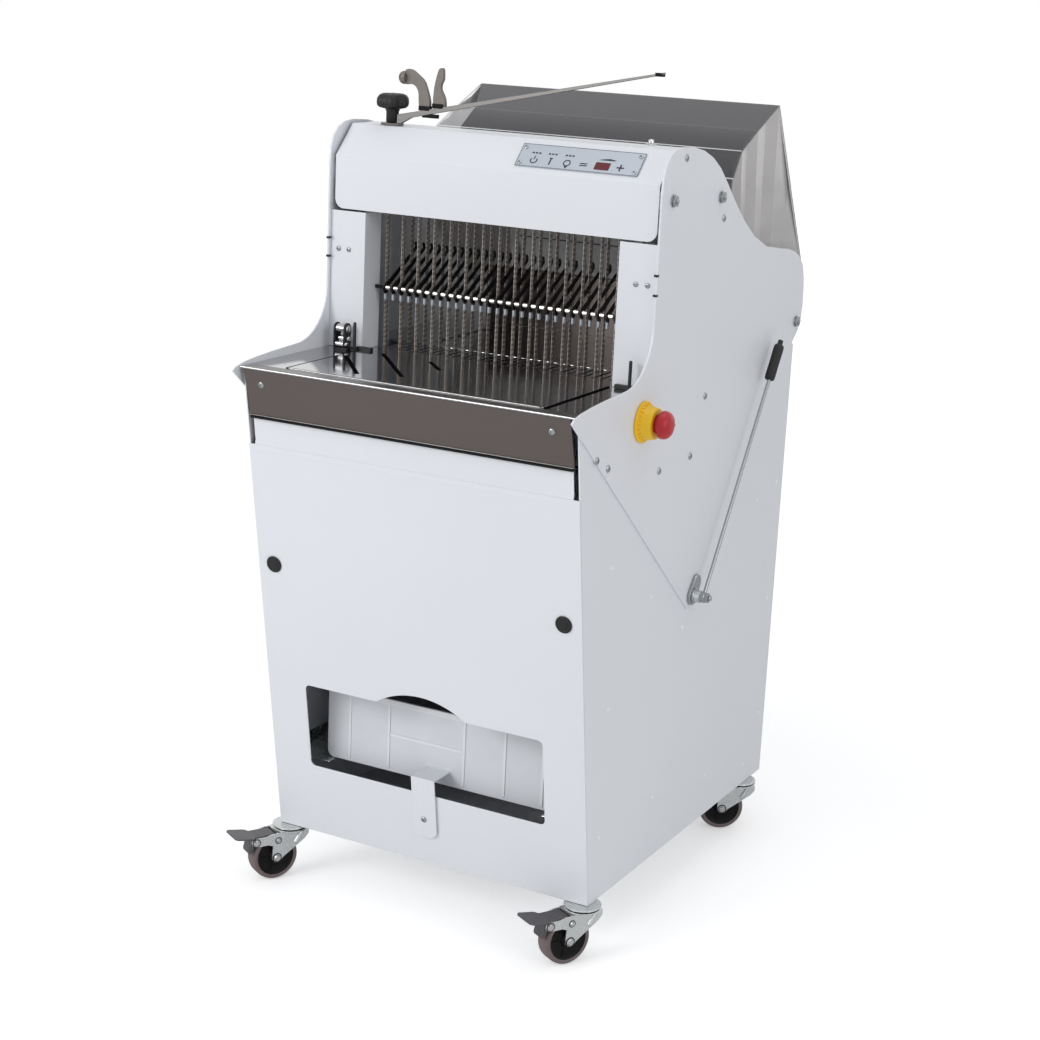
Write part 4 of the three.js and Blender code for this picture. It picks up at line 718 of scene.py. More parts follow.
def nut(form, point, normal, washer):
    """Washer, six-sided nut with its corners taken off, and the rounded end of the bolt."""
    radius, height, washer_height = 8.6, 7.1, 1.5
    bolt = radius * 0.55
    form.place = facing(point, normal)
    form.carry(round_outline(washer, 28), 0, washer_height, 0.3)
    form.carry(round_outline(radius, 6), washer_height, height * 0.8, 0.7)
    form.turn([(bolt, height * 0.7), (bolt, height * 0.92), (bolt * 0.6, height), (0, height)], steps=20)


TIE_BARS = (("tie_bar_front", 136, 1093), ("tie_bar_rear", 303, 1087), ("tie_bar_hinge", 643, 864))
TIE_BAR_HALF = 274
COLUMN_FRONT = 106
COLUMN_SCREWS = (238, 256)
LATCHES = (965.1, 992.6)
FASCIA_LEAN = Vector((0, -70.7, -19)).normalized()
FASCIA_SCREWS = [(-235.7, -115.6, 804.5), (233.3, -115.6, 804.5)]
CABINET_BACK = 649.9
# Depth and height on the side faces
PLATE_SCREWS = [
    (172.6, 1149.8), (318.5, 1055.5), (293.8, 794.7), (-57.5, 760.3), (-22.2, 742.7), (145.9, 708.2), (253.3, 710.8),
]
SIDE_RIVETS = [
    (543.4, 584.7), (153.4, 517.2), (274.6, 439.7), (623, 197.8), (25.2, 184.1), (204.4, 186.5), (408.7, 154.6),
    (15.6, 593.4), (572.3, 120), (623, 600), (623, 400), (30, 380),
]


class SLICER_OT_fasteners(bpy.types.Operator):
    """Build the tie bars with their nuts, and the screws of plates, columns and fascia"""

    bl_idname = "slicer.fasteners"
    bl_label = "Tie bars and screws"

    def execute(self, context):
        sizes = context.scene.slicer_sizes
        radius = mm(sizes.screw_radius)
        sleeve_end = SIDE_FACE - 0.1
        for name, *centre in TIE_BARS:
            bar = Form(RIGHT_SIDE)
            bar.carry(round_outline(5, 20, centre), -TIE_BAR_HALF, TIE_BAR_HALF)
            bar.carry(round_outline(5.5, 20, centre), -sleeve_end, sleeve_end, 0.3)
            for side in (1, -1):
                nut(bar, (side * (PLATE_FACE + 0.4), *centre), side * ALONG_X, mm(sizes.washer_radius))
            bar.piece(name + "_round", "cabinet", "zinc", "Screw steel", replaces=[name])
        screws = Form()
        for place in PLATE_SCREWS:
            for side in SIDES:
                screw_head(screws, (side * (PLATE_FACE - 0.1), *place), side * ALONG_X, radius)
        for side in SIDES:
            for x in COLUMN_SCREWS:
                screw_head(screws, (side * x, COLUMN_FRONT + 0.1, 977), -ALONG_Y, radius * 0.72)
        for place in FASCIA_SCREWS:
            screw_head(screws, place, FASCIA_LEAN, radius * 0.9)
        screws.piece("plate_screws", "cabinet", "zinc", "Screw steel")
        # The rivet heads take a whiter paint than the panels: painted highlight.
        rivets = Form()
        for place in SIDE_RIVETS:
            for side in SIDES:
                point = (side * (SIDE_FACE - 0.1), *place)
                screw_head(rivets, point, side * ALONG_X, mm(sizes.rivet_radius), 1.5, socket=False)
        rivets.piece("side_rivets", "cabinet", "white_paint", "Rivet heads with painted highlight")
        backs = Form()
        for x in (-255, 0, 255):
            for z in (110, 430, 800):
                screw_head(backs, (x, CABINET_BACK, z), ALONG_Y, radius * 0.8)
        backs.piece("rear_screws", "cabinet", "zinc", "Screw steel")
        marks = Form()
        for z in LATCHES:
            for left, right in both_sides(268.2, PLATE_FACE + 0.5):
                marks.block((left, 98.2, z - 1.5), (right, 104, z + 1.5), 0.3)
        marks.piece("plate_latches", "cabinet", "black_plastic", "Black plastic")
        return {"FINISHED"}


SLOPE_NORMAL = (0, -45, 43)
SLOPE = facing((0, 107, 1115), SLOPE_NORMAL)
CONTROL_FACE = 1.78
CONTROL_SCREWS = ((39.5, 16.5), (39.5, 45), (220.5, 45), (220.5, 16.5))
POWER, START, LAMP, LEVEL, SLICE, PLUS = 60, 86, 113, 139, 160, 196.5
SIGN_ROW = 22.5
RIM = (33.4, 10.9, 226.6, 51.3)
RIM_WIDTH = 0.7


class SLICER_OT_controls(bpy.types.Operator):
    """Build the control plate's rim, screws, signs and display"""

    bl_idname = "slicer.controls"
    bl_label = "Control plate"

    def execute(self, context):
        sizes = context.scene.slicer_sizes
        top, ink = CONTROL_FACE, 2.0
        screws = Form()
        for x, up in CONTROL_SCREWS:
            screw_head(screws, SLOPE @ Vector((x, up, top)), SLOPE_NORMAL, mm(sizes.small_screw_radius), 1.6)
        screws.piece("control_screws", "cabinet", "zinc", "Screw steel")
        signs = Form(SLOPE)
        ring = mm(sizes.key_radius)
        thin = ring * 0.3

        def bend(x, start, end):
            """Bent stroke about a point of the row."""
            outer, inner = (arc((x, SIGN_ROW), radius, start, end, 24) for radius in (ring, ring - thin))
            for outline in zip(outer, outer[1:], inner[1:], inner):
                signs.carry(outline, top, ink)

        def stroke(x, rise, wide, tall):
            """Straight stroke, raised over the row."""
            up = SIGN_ROW + rise
            signs.block((x - wide / 2, up - tall / 2, top), (x + wide / 2, up + tall / 2, ink), 0.1)

        bend(POWER, 140, 400)
        stroke(POWER, ring * 0.8, thin, ring)
        stroke(START, 0, thin * 1.3, ring * 2)
        stroke(START, ring, ring * 0.9, thin)
        bend(LAMP, 0, 360)
        foot = SIGN_ROW - ring
        signs.carry([(LAMP - 2.5, foot), (LAMP + 2.5, foot), (LAMP, foot - ring * 0.7)], top, ink)
        for rise in (thin, -thin):
            stroke(LEVEL, rise, ring * 2, thin)
        stroke(PLUS, 0, ring * 2, thin * 1.3)
        stroke(PLUS, 0, thin * 1.3, ring * 2)
        for x in (POWER, START, LAMP):
            for offset in (-0.9, 0, 0.9):
                stroke(x + ring * offset, ring * 2.3, ring * 0.6, thin * 1.5)
        slice_line = [(0, 10.5), (24, 10.5), (26, 12), (16, 14), (6, 12.5)]
        signs.carry([(SLICE + x, SIGN_ROW + up) for x, up in slice_line], top, ink)
        left, low, right, high = RIM
        for x0, y0, x1, y1 in (
            (left, low, right, low + RIM_WIDTH),
            (left, high - RIM_WIDTH, right, high),
            (left, low, left + RIM_WIDTH, high),
            (right - RIM_WIDTH, low, right, high),
        ):
            signs.block((x0, y0, top - 0.2), (x1, y1, top + 0.15), 0.1)
        signs.piece("control_signs", "cabinet", "black_plastic", "Printed ink")
        window = Form(SLOPE)
        window.carry(box_outline(157, SIGN_ROW - 6.5, 180, SIGN_ROW + 6.5, 1), top, top + 0.5, 0.2)
        window.piece("control_display", "cabinet", "red", "Display")
        button = Form(Matrix.Translation((198, 214, 1160.2)))
        button.turn([(0, -0.4), (8, -0.4), (8.4, 0.6), (7, 1.6), (4.6, 2.2), (4.4, 6), (3.2, 7.4), (0, 7.8)])
        button.piece("hood_stud", "cabinet", "zinc", "Polished steel")
        return {"FINISHED"}


BRACKET = (-248, -224, 84, 102)
# Depth, height over the table and radius of each roller
ROLLERS = ((92.6, 31, 7), (94.5, 16, 5.2), (88.6, 8.2, 4.4))
PIN = [(0, 0), (6, 0), (6, 2.2), (5, 3), (2.5, 3.6), (2.4, 41.5), (1.4, 43), (0, 43)]
INLAY_HALF, INLAY_FRONT, INLAY_LENGTH = 207, -95, 195
# Ends of the slots, as shares of the inlay's half width and of its length
SLOTS = ((-0.957, 0.713, -0.517, 0.154), (-0.797, 0.969, -0.229, 0.279), (-0.374, 0.923, -0.155, 0.682))
SLOT_HALF = 3.4


class SLICER_OT_table(bpy.types.Operator):
    """Build the roller bracket, the two pins, the black fills of painted shadow in the slots, beside the inlay and
    under the fascia, and the rims
    """

    bl_idname = "slicer.table"
    bl_label = "Table pieces"

    def execute(self, context):
        foot = TABLE_TOP + FIT
        left, right, front, back = BRACKET
        bracket, rollers = Form(), Form()
        bracket.block((left, front, foot), (right, back, foot + 3))
        bracket.place = RIGHT_SIDE
        cheek = box_outline(front + 0.2, foot, back - 0.2, foot + 39.8, 7.6)
        for start, end in ((left, left + 2.4), (right - 6.4, right - 4)):
            bracket.carry(cheek, start, end, 0.4)
        for depth, height, radius in ROLLERS:
            centre = (depth, foot + height)
            rollers.place = RIGHT_SIDE
            rollers.carry(round_outline(radius, 24, centre), left + 2.6, right - 6.6, 1)
            rollers.place = facing((right - 4, *centre), ALONG_X)
            hub = radius * 0.8
            rollers.turn([(0, -1), (hub, -1), (hub, 1), (radius * 0.55, 3), (0, 3.8)], steps=24)
        bracket.piece("roller_frame", "cabinet", "polished_steel", "Black plastic", replaces=["roller_bracket"])
        rollers.piece("rollers", "cabinet", "polished_steel", "Polished steel")
        for name, x, reach in (("table_pin_left", -215, 26), ("table_pin_right", 244, -26)):
            pin, arm = Form(), Form()
            pin.turn(PIN, (x, 92, foot), steps=20)
            pin.piece(name + "_round", "cabinet", "black_plastic", "Black plastic", replaces=[name])
            start, end = sorted((x, x + reach))
            arm.block((start, 96, foot + 0.2), (end, 104.5, foot + 5.5), 1)
            arm.piece(name + "_arm", "cabinet", "black_plastic", "Black plastic")
        # Painted shadow: black fills in the slots up to the inlay's top, and black strips along the inlay's sides in
        # place of the shade in its gaps.
        shadow_fill = Form()
        for a, b, c, d in SLOTS:
            start = Vector((a * INLAY_HALF, INLAY_FRONT + b * INLAY_LENGTH))
            end = Vector((c * INLAY_HALF, INLAY_FRONT + d * INLAY_LENGTH))
            side = (end - start).normalized().orthogonal() * SLOT_HALF
            shadow_fill.carry([start + side, start - side, end - side, end + side], foot + 0.1, INLAY_TOP + 0.1)
        for low, high in both_sides(INLAY_HALF - 0.2, INLAY_HALF + 3.2):
            shadow_fill.block((low, -92, TABLE_TOP + 0.1), (high, 99, INLAY_TOP - 0.1), 0.4)
        shadow_fill.piece("slot_shadows", "cabinet", "black_plastic", "Painted slot shadow")
        rims = Form()
        rims.block((-260, -119.5, TABLE_TOP - 0.1), (260, -97, TABLE_TOP + 0.5), 0.4)
        rims.block((-206, -94.5, INLAY_TOP - 0.2), (206, -90, INLAY_TOP + 0.3), 0.3)
        rims.piece("inlay_rim", "cabinet", "polished_steel", "Arm steel")
        for name, slot, finish, half, y, z, radius, steps in (
            ("fascia_edges", "brushed_steel", "Arm steel", 262.6, -103.6, 756.6, 0.7, 10),
            # The black rubber rod under the fascia's lower edge is painted shadow of the gap between the fascia and the
            # panel.
            ("fascia_shadow_line", "black_plastic", "Black rubber", 262, -103.4, 753.6, 1.9, 12),
        ):
            strip = Form()
            strip.rod((-half, y, z), (half, y, z), radius, steps=steps)
            strip.piece(name, "cabinet", slot, finish)
        return {"FINISHED"}


PIVOT = (292, 487)
LEVER_LEAN = 33.5
ROD_ACROSS = 294
HUB_FACE = PLATE_FACE + FIT
GRIP = [(3.3, 366.6), (6.4, 366.7), (7.8, 368.4), (8.2, 374), (8, 396), (8.2, 418), (7.8, 424), (6, 426.3), (4.2, 427)]
GRIP_END = [(4, 433.6), (3, 434.8), (0, 434.8)]


class SLICER_OT_lever(bpy.types.Operator):
    """Build the lever's hub, rod and grip"""

    bl_idname = "slicer.lever"
    bl_label = "Lever"

    def execute(self, context):
        turned = Matrix.Translation((0, *PIVOT)) @ Matrix.Rotation(math.radians(-LEVER_LEAN), 4, "X")
        hub = Form(turned @ RIGHT_SIDE)
        hub.carry(link_outline((0, 0), 15, (0, 22), 12, steps=16), HUB_FACE, HUB_FACE + 5, 1)
        for radius, steps, start, end, chamfer in (
            (11.8, 32, 4.4, 8.4, 0.8),
            (8.4, 28, 8, 23.9, 0.8),
            (7.8, 6, 23.4, 29.9, 0.6),
            (4.4, 20, 29.4, 33.2, 1),
        ):
            hub.carry(round_outline(radius, steps), HUB_FACE + start, HUB_FACE + end, chamfer)
        hub.piece("lever_hub", "lever", "zinc", "Screw steel", replaces=["lever_rod"])
        rod = Form(turned)
        rod.rod((ROD_ACROSS, 0, 6), (ROD_ACROSS, 0, 430), 2.7, steps=20)
        rod.piece("lever_rod_round", "lever", "zinc", "Screw steel")
        grip = Form(turned)
        grip.turn(GRIP + GRIP_END, (ROD_ACROSS, 0, 0), steps=48, lobes=8, lobe=0.25)
        grip.piece("lever_grip_round", "lever", "black_plastic", "Black plastic", replaces=["lever_grip"])
        return {"FINISHED"}


COLLAR = [(0, 0.1), (29.4, 0.1), (29.8, 1), (29.8, 3), (28.8, 4), (26, 4.2), (25, 5.5), (23.6, 14), (22.4, 20.8)]
COLLAR_END = [(21.4, 21.9), (13.2, 21.9), (12.7, 21), (12.7, 6.2), (0, 6.2)]
MUSHROOM = [(0, 11.4), (12, 11.4), (12, 28), (18.3, 28.1), (19.6, 29.4), (20, 31.5), (19.8, 35), (18.2, 39.4)]
DOME = [(15, 42.3), (10, 44.2), (5, 44.9), (0, 44.95)]


class SLICER_OT_stop(bpy.types.Operator):
    """Build the emergency stop: ribbed collar and domed mushroom"""

    bl_idname = "slicer.stop"
    bl_label = "Emergency stop"

    def execute(self, context):
        base = facing((PLATE_FACE + FIT, 80, 791), ALONG_X)
        collar, button = Form(base), Form(base)
        collar.turn(COLLAR + COLLAR_END, steps=48)
        for place in around(base, 24):
            collar.place = place
            collar.block((24.4, -0.8, 4.4), (26.2, 0.8, 8), 0.3)
        collar.piece("stop_collar_round", "cabinet", "yellow", "Safety yellow", replaces=["stop_collar"])
        button.turn(MUSHROOM + DOME, steps=48)
        for place in around(base, 3):
            button.place = place
            button.carry([(9, -2.2), (12.5, 0), (9, 2.2)], 43, 44.4)
        button.piece("stop_button_round", "stop_button", "red", "Safety red", replaces=["stop_button"])
        return {"FINISHED"}


PANEL_FOOT = 86
PANEL_LEAN = 0.1543
PANEL_NORMAL = Vector((0, -1, -PANEL_LEAN)).normalized()
PANEL_HALF, STRIP_HALF = 270, 260
PANEL_TOP, STRIP_FOOT = 753.5, 711.5
WINDOW_HALF, WINDOW_SILL, WINDOW_HEAD = 203, 202, 338
ARCH_HALF, ARCH_RISE = 76, 24
PLUG = (242, 527)
PLUG_RIM = [(0, -5.9), (9.4, -5.9), (9.6, 0.35), (12.6, 0.35), (12.9, 0.8), (12.7, 1.6), (11, 2.4), (9.6, 2.5)]
PLUG_DOME = [(9, 2.1), (6, 2.6), (3, 2.85), (0, 2.9)]


def on_panel(height):
    """Distance up the leaning front panel to a height over the floor."""
    return (height - PANEL_FOOT) * math.hypot(1, PANEL_LEAN)


class SLICER_OT_front(bpy.types.Operator):
    """Build the front panel with its arched window and set-back top strip, and its plugs"""

    bl_idname = "slicer.front"
    bl_label = "Front panel"

    def execute(self, context):
        place = facing((0, 0, PANEL_FOOT), PANEL_NORMAL)
        top, strip = on_panel(PANEL_TOP), on_panel(STRIP_FOOT)
        sill, head = on_panel(WINDOW_SILL), on_panel(WINDOW_HEAD)
        radius = (ARCH_HALF**2 + ARCH_RISE**2) / (2 * ARCH_RISE)
        spread = math.degrees(math.asin(ARCH_HALF / radius))
        arch = arc((0, head + ARCH_RISE - radius), radius, 90 - spread, 90 + spread, 28)
        window = box_outline(-WINDOW_HALF, sill, WINDOW_HALF, head, 8, steps=6)
        middle = len(window) // 2
        window[middle:middle] = arch
        across, up = PLUG[0], on_panel(PLUG[1])
        plugs = [round_outline(10, 32, (x, up)) for x in (-across, across)]
        panel = Form(place)
        outline = [(-PANEL_HALF, 0), (PANEL_HALF, 0), (PANEL_HALF, strip), (-PANEL_HALF, strip)]
        panel.sheet(outline, [window] + plugs, -2, 0)
        panel.piece("front_panel_sheet", "cabinet", "white_paint", "White paint", replaces=["front_panel"], bevel=0.5)
        band = Form(RIGHT_SIDE)
        profile = []
        for rise, out in ((strip - 9, 0.3), (strip - 4, 0.3), (strip + 6, -3.4), (top - 1, -3.4), (top, -4)):
            point = place @ Vector((0, rise, out))
            profile.append((point.y, point.z))
        behind = [(y + 1.6, z + 0.25) for y, z in profile]
        profile[0] = (profile[0][0] - 0.05, profile[0][1])
        band.carry(profile + behind[::-1], -STRIP_HALF, STRIP_HALF)
        band.piece("front_panel_strip", "cabinet", "white_paint", "White paint", bevel=0.4)
        for name, x in (("plug_right", across), ("plug_left", -across)):
            plug = Form(place @ Matrix.Translation((x, up, 0)))
            plug.turn(PLUG_RIM + PLUG_DOME, steps=36)
            plug.piece(name + "_round", "cabinet", "black_plastic", "Black plastic", replaces=[name])
        return {"FINISHED"}


DRAWER_HALF, DRAWER_FRONT, DRAWER_BACK = 200, 25, 365
DRAWER_LOW, DRAWER_HIGH, DRAWER_WALL = 205.4, 297.2, 3
RIBS = (-158.8, -88.8, 42.8, 112, 176)
RIB_HALF = 1.8


class SLICER_OT_drawer(bpy.types.Operator):
    """Build the crumb drawer with its raised ribs and rim, and the tab's screw"""

    bl_idname = "slicer.drawer"
    bl_label = "Crumb drawer"

    def execute(self, context):
        half, front, low, wall = DRAWER_HALF, DRAWER_FRONT, DRAWER_LOW, DRAWER_WALL
        outer = box_outline(-half, front, half, DRAWER_BACK, 12, steps=8)
        inner = box_outline(wall - half, front + wall, half - wall, DRAWER_BACK - wall, 12 - wall, steps=8)
        tray = Form()
        steps = ((outer, low), (outer, DRAWER_HIGH), (inner, DRAWER_HIGH), (inner, low + wall))
        tray.loft([[(x, y, z) for x, y in line] for line, z in steps])
        tray.piece("crumb_tray", "crumb_drawer", "grey_plastic", "Light grey plastic", replaces=["crumb_drawer"])
        face = Form(FRONT_SIDE)
        face.carry(box_outline(-199.5, low + 1, 199.5, 322, 11, steps=8), 2 - front, 4 - front, 0.6)
        face.piece("drawer_face", "crumb_drawer", "grey_plastic", "Light grey plastic")
        # The ribs and the top rim are lighter than the drawer: painted highlight.
        ribs = Form(FRONT_SIDE)
        start, end = 3.6 - front, 5.4 - front
        ribs.carry(box_outline(-198, 313, 198, 321.4, 4, steps=6), start, end, 0.8)
        for x in RIBS:
            upright = box_outline(x - RIB_HALF, low + 6, x + RIB_HALF, 314, RIB_HALF - 0.1, steps=3)
            ribs.carry(upright, start, end, 0.7)
        ribs.carry(box_outline(RIBS[1], 264, RIBS[2], 267.8, RIB_HALF - 0.1, steps=3), start, end, 0.7)
        ribs.piece("drawer_ribs", "crumb_drawer", "grey_plastic", "Drawer ribs with painted highlight")
        screw = Form()
        screw_head(screw, (-1, -15.6 - PANEL_LEAN * 0.5, 161), PANEL_NORMAL, 4.6, 2.2)
        screw.piece("tab_screw", "crumb_drawer", "zinc", "Screw steel")
        return {"FINISHED"}


ARM = (-205, 165)
ARM_FOOT = 1174.8
ARM_RISE = 11.4
HORNS = (-157, -134)
KNOB_STEM = [(0, 1164.7), (8.6, 1164.7), (9.4, 1166), (9.4, 1180), (11, 1184), (15, 1186), (9.4, 1187)]
KNOB_HEAD = [(0, 1185.2), (14, 1185.2), (20, 1186.6), (23.6, 1189.5), (24.4, 1194), (23.8, 1200), (20.5, 1204.4)]
KNOB_CAP = [(15, 1206.5), (11, 1206.9), (10, 1206.2), (0, 1206.2)]


def arm_top(x):
    """Height of the arm's upper edge."""
    return ARM_FOOT + (x - ARM[0]) * math.tan(math.radians(ARM_RISE))


class SLICER_OT_knob(bpy.types.Operator):
    """Build the star knob, the horns' rubber feet, and the clip and end of the arm"""

    bl_idname = "slicer.knob"
    bl_label = "Knob and arm"

    def execute(self, context):
        lobes = context.scene.slicer_sizes.knob_lobes
        knob = Form(Matrix.Translation((*ARM, 0)))
        knob.turn(KNOB_STEM, steps=32)
        knob.turn(KNOB_HEAD + KNOB_CAP, steps=72, lobes=lobes, lobe=1.9)
        knob.piece("star_knob_round", "star_knob", "black_plastic", "Black plastic", replaces=["star_knob"])
        rubber = Form()
        for x in HORNS:
            foot = arm_top(x + 8)
            rubber.block((x - 1.4, 161, foot - 0.6), (x + 18.4, 169, foot + 6), 0.8)
        under, tip = arm_top(-138) - 8, arm_top(228)
        rubber.block((-152, 161.4, under - 5), (-126, 168.6, under + 0.4), 0.8)
        rubber.block((222, 160.9, tip - 4.5), (234.6, 169.1, tip + 0.4), 0.8)
        rubber.piece("arm_rubbers", "swivel_arm", "black_plastic", "Black rubber")
        ring = Form(facing((-184.6, 162, arm_top(-184.6) + 52.2), -ALONG_Y))
        ring.turn([(6, -0.2), (9.3, -0.2), (9.4, 0.4), (7.6, 1.2), (6, 0.3), (6, -0.2)], steps=32)
        ring.piece("horn_ring", "swivel_arm", "dark_steel", "Cast horn")
        return {"FINISHED"}


def mirrored(profile):
    """Closed profile: the given half, and its mirror image on the other side of height 0."""
    return profile + [(radius, -height) for radius, height in reversed(profile) if height] + profile[:1]


class Caster:
    """One caster: its pieces are drawn about the swivel axis, with the wheel behind it."""

    AXLE = (30, 37.5)
    BRAKE = (65, 68)
    CHEEK = (15.5, 18)
    TYRE = [(30.2, 12.3), (31.4, 12.9), (34.6, 12.9), (36.6, 11.4), (37.4, 8), (37.5, 0)]
    DISC = [(5.6, 14.9), (9.5, 14.9), (10.5, 14), (11.5, 10.5), (20, 9.2), (26, 10.2), (29.5, 11.6), (30.4, 12.4)]
    LOWER_RACE = [(0, 77.6), (24, 77.6), (27.2, 78.2), (27.9, 79.2), (26.8, 80.2), (25, 80.6)]
    UPPER_RACE = [(25, 82.2), (27, 82.6), (27.8, 83.6), (27.4, 85), (25, 85.6), (0, 85.6)]
    SEAL = [(20, 80.4), (26, 80.4), (26.3, 81.4), (26, 82.4), (20, 82.4), (20, 80.4)]
    LEG = [(-24, 77.5), (-24, 70), (-17, 62), (20, 37), (25, 31), (30, 29.6), (35, 31), (38, 35.5), (38, 46), (37, 58)]
    # Depth, height and half width of the pedal's plate
    PEDAL = [(33, 76.2, 14.2), (40, 75.9, 14.6), (62, 75.3, 14.8), (65, 75.4, 14.8), (70, 76, 21), (72, 76.3, 21.9)]
    PEDAL_TIP = [(97, 80.2, 21.9), (101, 80.6, 17)]

    def __init__(self, name, across, depth, degrees, brake):
        self.name = name
        self.brake = brake
        turn = Matrix.Rotation(math.pi - math.radians(degrees), 4, "Z")
        self.place = Matrix.Translation((across, depth, 0)) @ turn

    def fork(self):
        """Crown with its ball race and seal, bridge, two legs, and the heads of axle and bolts, each on a black disc of
        painted shade.
        """
        body = self.name + "_fork"
        (trail, axle_height), (out, bolt_height) = self.AXLE, self.BRAKE
        outside = self.CHEEK[1]
        form = Form(self.place)
        form.turn(self.LOWER_RACE + self.UPPER_RACE, steps=36)
        form.block((0.1 - outside, -23.9, 76.4), (outside - 0.1, trail, 78.7), 2)
        leg = [*self.LEG, (32, 68), (24, 77.5)]
        bolts = [(trail, axle_height, 5), (28, 66, 3.6)]
        if self.brake:
            eye = [(45, 61), (out, 61), (out + 6, 63.5), (out + 7.9, bolt_height), (out + 6, 72.5), (out, 75)]
            leg = [*self.LEG, *eye, (48, 75), (38, 77.5)]
            bolts.append((out, bolt_height, 4.6))
        form.place = self.place @ RIGHT_SIDE
        for left, right in both_sides(*self.CHEEK):
            form.carry(leg, left, right, 0.3)
        form.carry(round_outline(4.9, 16, self.AXLE), -outside, outside)
        form.place = self.place
        for side in SIDES:
            form.rod((side * 16.6, -13, 76.4), (side * 16.6, -1, 56), 4.2, steps=24, chamfer=2)
        form.piece(body + "_round", body, "zinc", "Zinc", replaces=[body])
        # Black discs a little wider than the bolt heads: painted shade around each head.
        heads, rings = Form(), Form()
        for y, z, radius in bolts:
            head = [(0, 0), (radius * 1.2, 0), (radius * 1.2, 0.9), (radius, 1), (radius * 0.8, 2.7), (0, 3.1)]
            for side in SIDES:
                heads.place = rings.place = self.place @ facing((side * (outside - 0.2), y, z), side * ALONG_X)
                heads.turn(head, steps=20)
                rings.carry(round_outline(radius * 1.55, 20), 0, 0.6)
        if self.brake:
            heads.place = self.place @ RIGHT_SIDE
            heads.carry(round_outline(3.4, 16, self.BRAKE), -outside, outside)
        heads.piece(self.name + "_bolts", body, "zinc", "Polished steel")
        rings.piece(self.name + "_shade_rings", body, "zinc", "Black plastic")
        seal = Form(self.place)
        seal.turn(self.SEAL, steps=36)
        seal.piece(self.name + "_seal", body, "black_plastic", "Black rubber")

    def wheel(self):
        """Hub and side discs of plastic in a rubber tread."""
        body = self.name + "_wheel"
        across = self.place @ Matrix.Translation((0, *self.AXLE)) @ RIGHT_SIDE
        disc, tread = Form(across), Form(across)
        disc.turn(mirrored(self.DISC), steps=44)
        for low, high in both_sides(9, 10.8):
            for place in around(across, 5):
                disc.place = place
                disc.block((11, -1.2, low), (27, 1.2, high), 0.4)
        disc.piece(body + "_disc", body, "black_plastic", "Wheel disc", replaces=[body])
        tread.turn(mirrored(self.TYRE), steps=56)
        tread.piece(body + "_tread", body, "tyre_grey", "Tread rubber")

    def pedal(self):
        """Brake pedal: hub on the bolt, bent plate with a pointed end over the wheel, and the shoe."""
        body = self.name + "_brake"
        out = self.BRAKE[0]
        form, plate = Form(self.place @ RIGHT_SIDE), Form(self.place)
        form.carry(round_outline(6.4, 22, self.BRAKE), -12, 12, 0.5)
        form.carry([(out - 2, 66), (out + 6, 68), (75, 52), (74, 48.3), (71.2, 49.2)], -12, 12, 0.4)
        form.piece(body + "_hub", body, "zinc", "Pedal steel", replaces=[body])
        rings = []
        for y, z, half in self.PEDAL + self.PEDAL_TIP:
            line = [(-half, -0.9), (half, -0.9), (half - 0.4, 1.3), (0, 1.6), (0.4 - half, 1.3)]
            rings.append([(x, y, z + rise) for x, rise in line])
        plate.loft(rings)
        plate.piece(body + "_plate", body, "zinc", "Pedal steel", bevel=0.4)

    def build(self):
        """All pieces of this caster."""
        self.fork()
        self.wheel()
        if self.brake:
            self.pedal()


FRONT_CASTER = (258, 8, 30, True)
REAR_CASTER = (258, 590, 55, False)


class SLICER_OT_casters(bpy.types.Operator):
    """Build the four casters"""

    bl_idname = "slicer.casters"
    bl_label = "Casters"

    def execute(self, context):
        for name, (across, *others) in (("front", FRONT_CASTER), ("rear", REAR_CASTER)):
            Caster(f"caster_{name}_right", across, *others).build()
            Caster(f"caster_{name}_left", -across, *others).build()
        return {"FINISHED"}


MOTOR_AXIS = (180, 443.7)
COWL = [(0, -199.8), (40, -199.8), (50, -196), (54, -188), (54, -166), (49, -165)]
NOSE = [(49, -48), (54, -47), (54, -36), (42, -30.4), (16, -30.2), (12, -27), (7, -27), (7, 12), (0, 12)]


class SLICER_OT_motor(bpy.types.Operator):
    """Build the motor with its cooling fins and fan cowl"""

    bl_idname = "slicer.motor"
    bl_label = "Motor"

    def execute(self, context):
        axis = facing((0, *MOTOR_AXIS), ALONG_X)
        motor = Form(axis)
        bare, finned, points = 49, 54.5, 96
        outline = []
        for index in range(points):
            angle = 2 * math.pi * index / points
            radius = bare if index % 3 else finned
            outline.append((radius * math.cos(angle), radius * math.sin(angle)))
        motor.carry(outline, COWL[-1][1], NOSE[0][1])
        motor.turn(COWL, steps=40)
        motor.turn(NOSE, steps=40)
        for place in around(axis, 12):
            motor.place = place
            motor.block((14, -2, -199.9), (34, 2, -198.6))
        motor.place = Matrix.Identity(4)
        motor.block((-165, 144, 475), (-65, 216, 510.6), 1)
        motor.piece("motor_finned", "cabinet", "cast_grey", "Castings", replaces=["motor"])
        return {"FINISHED"}


CREST = [(364, 1109.7), (390.9, 1148.4), (447.8, 1176.1), (527.8, 1210), (677.9, 948.1), (690.4, 898.6), (680.8, 874.4)]
SKIRT = [(365.6, 1057.8), (421.6, 974.7), (562.4, 874.4), (640, 868), (684, 886)]
# Where the sides meet the sharp crest, brought in so that they stay under the top
CREST_CORNER = (527.4, 1206.4)
COVER_HALF = 264
WING_ENDS = (-210, -219, -227)
COVER_THICKNESS = 2.6
HINGE = (643, 864)


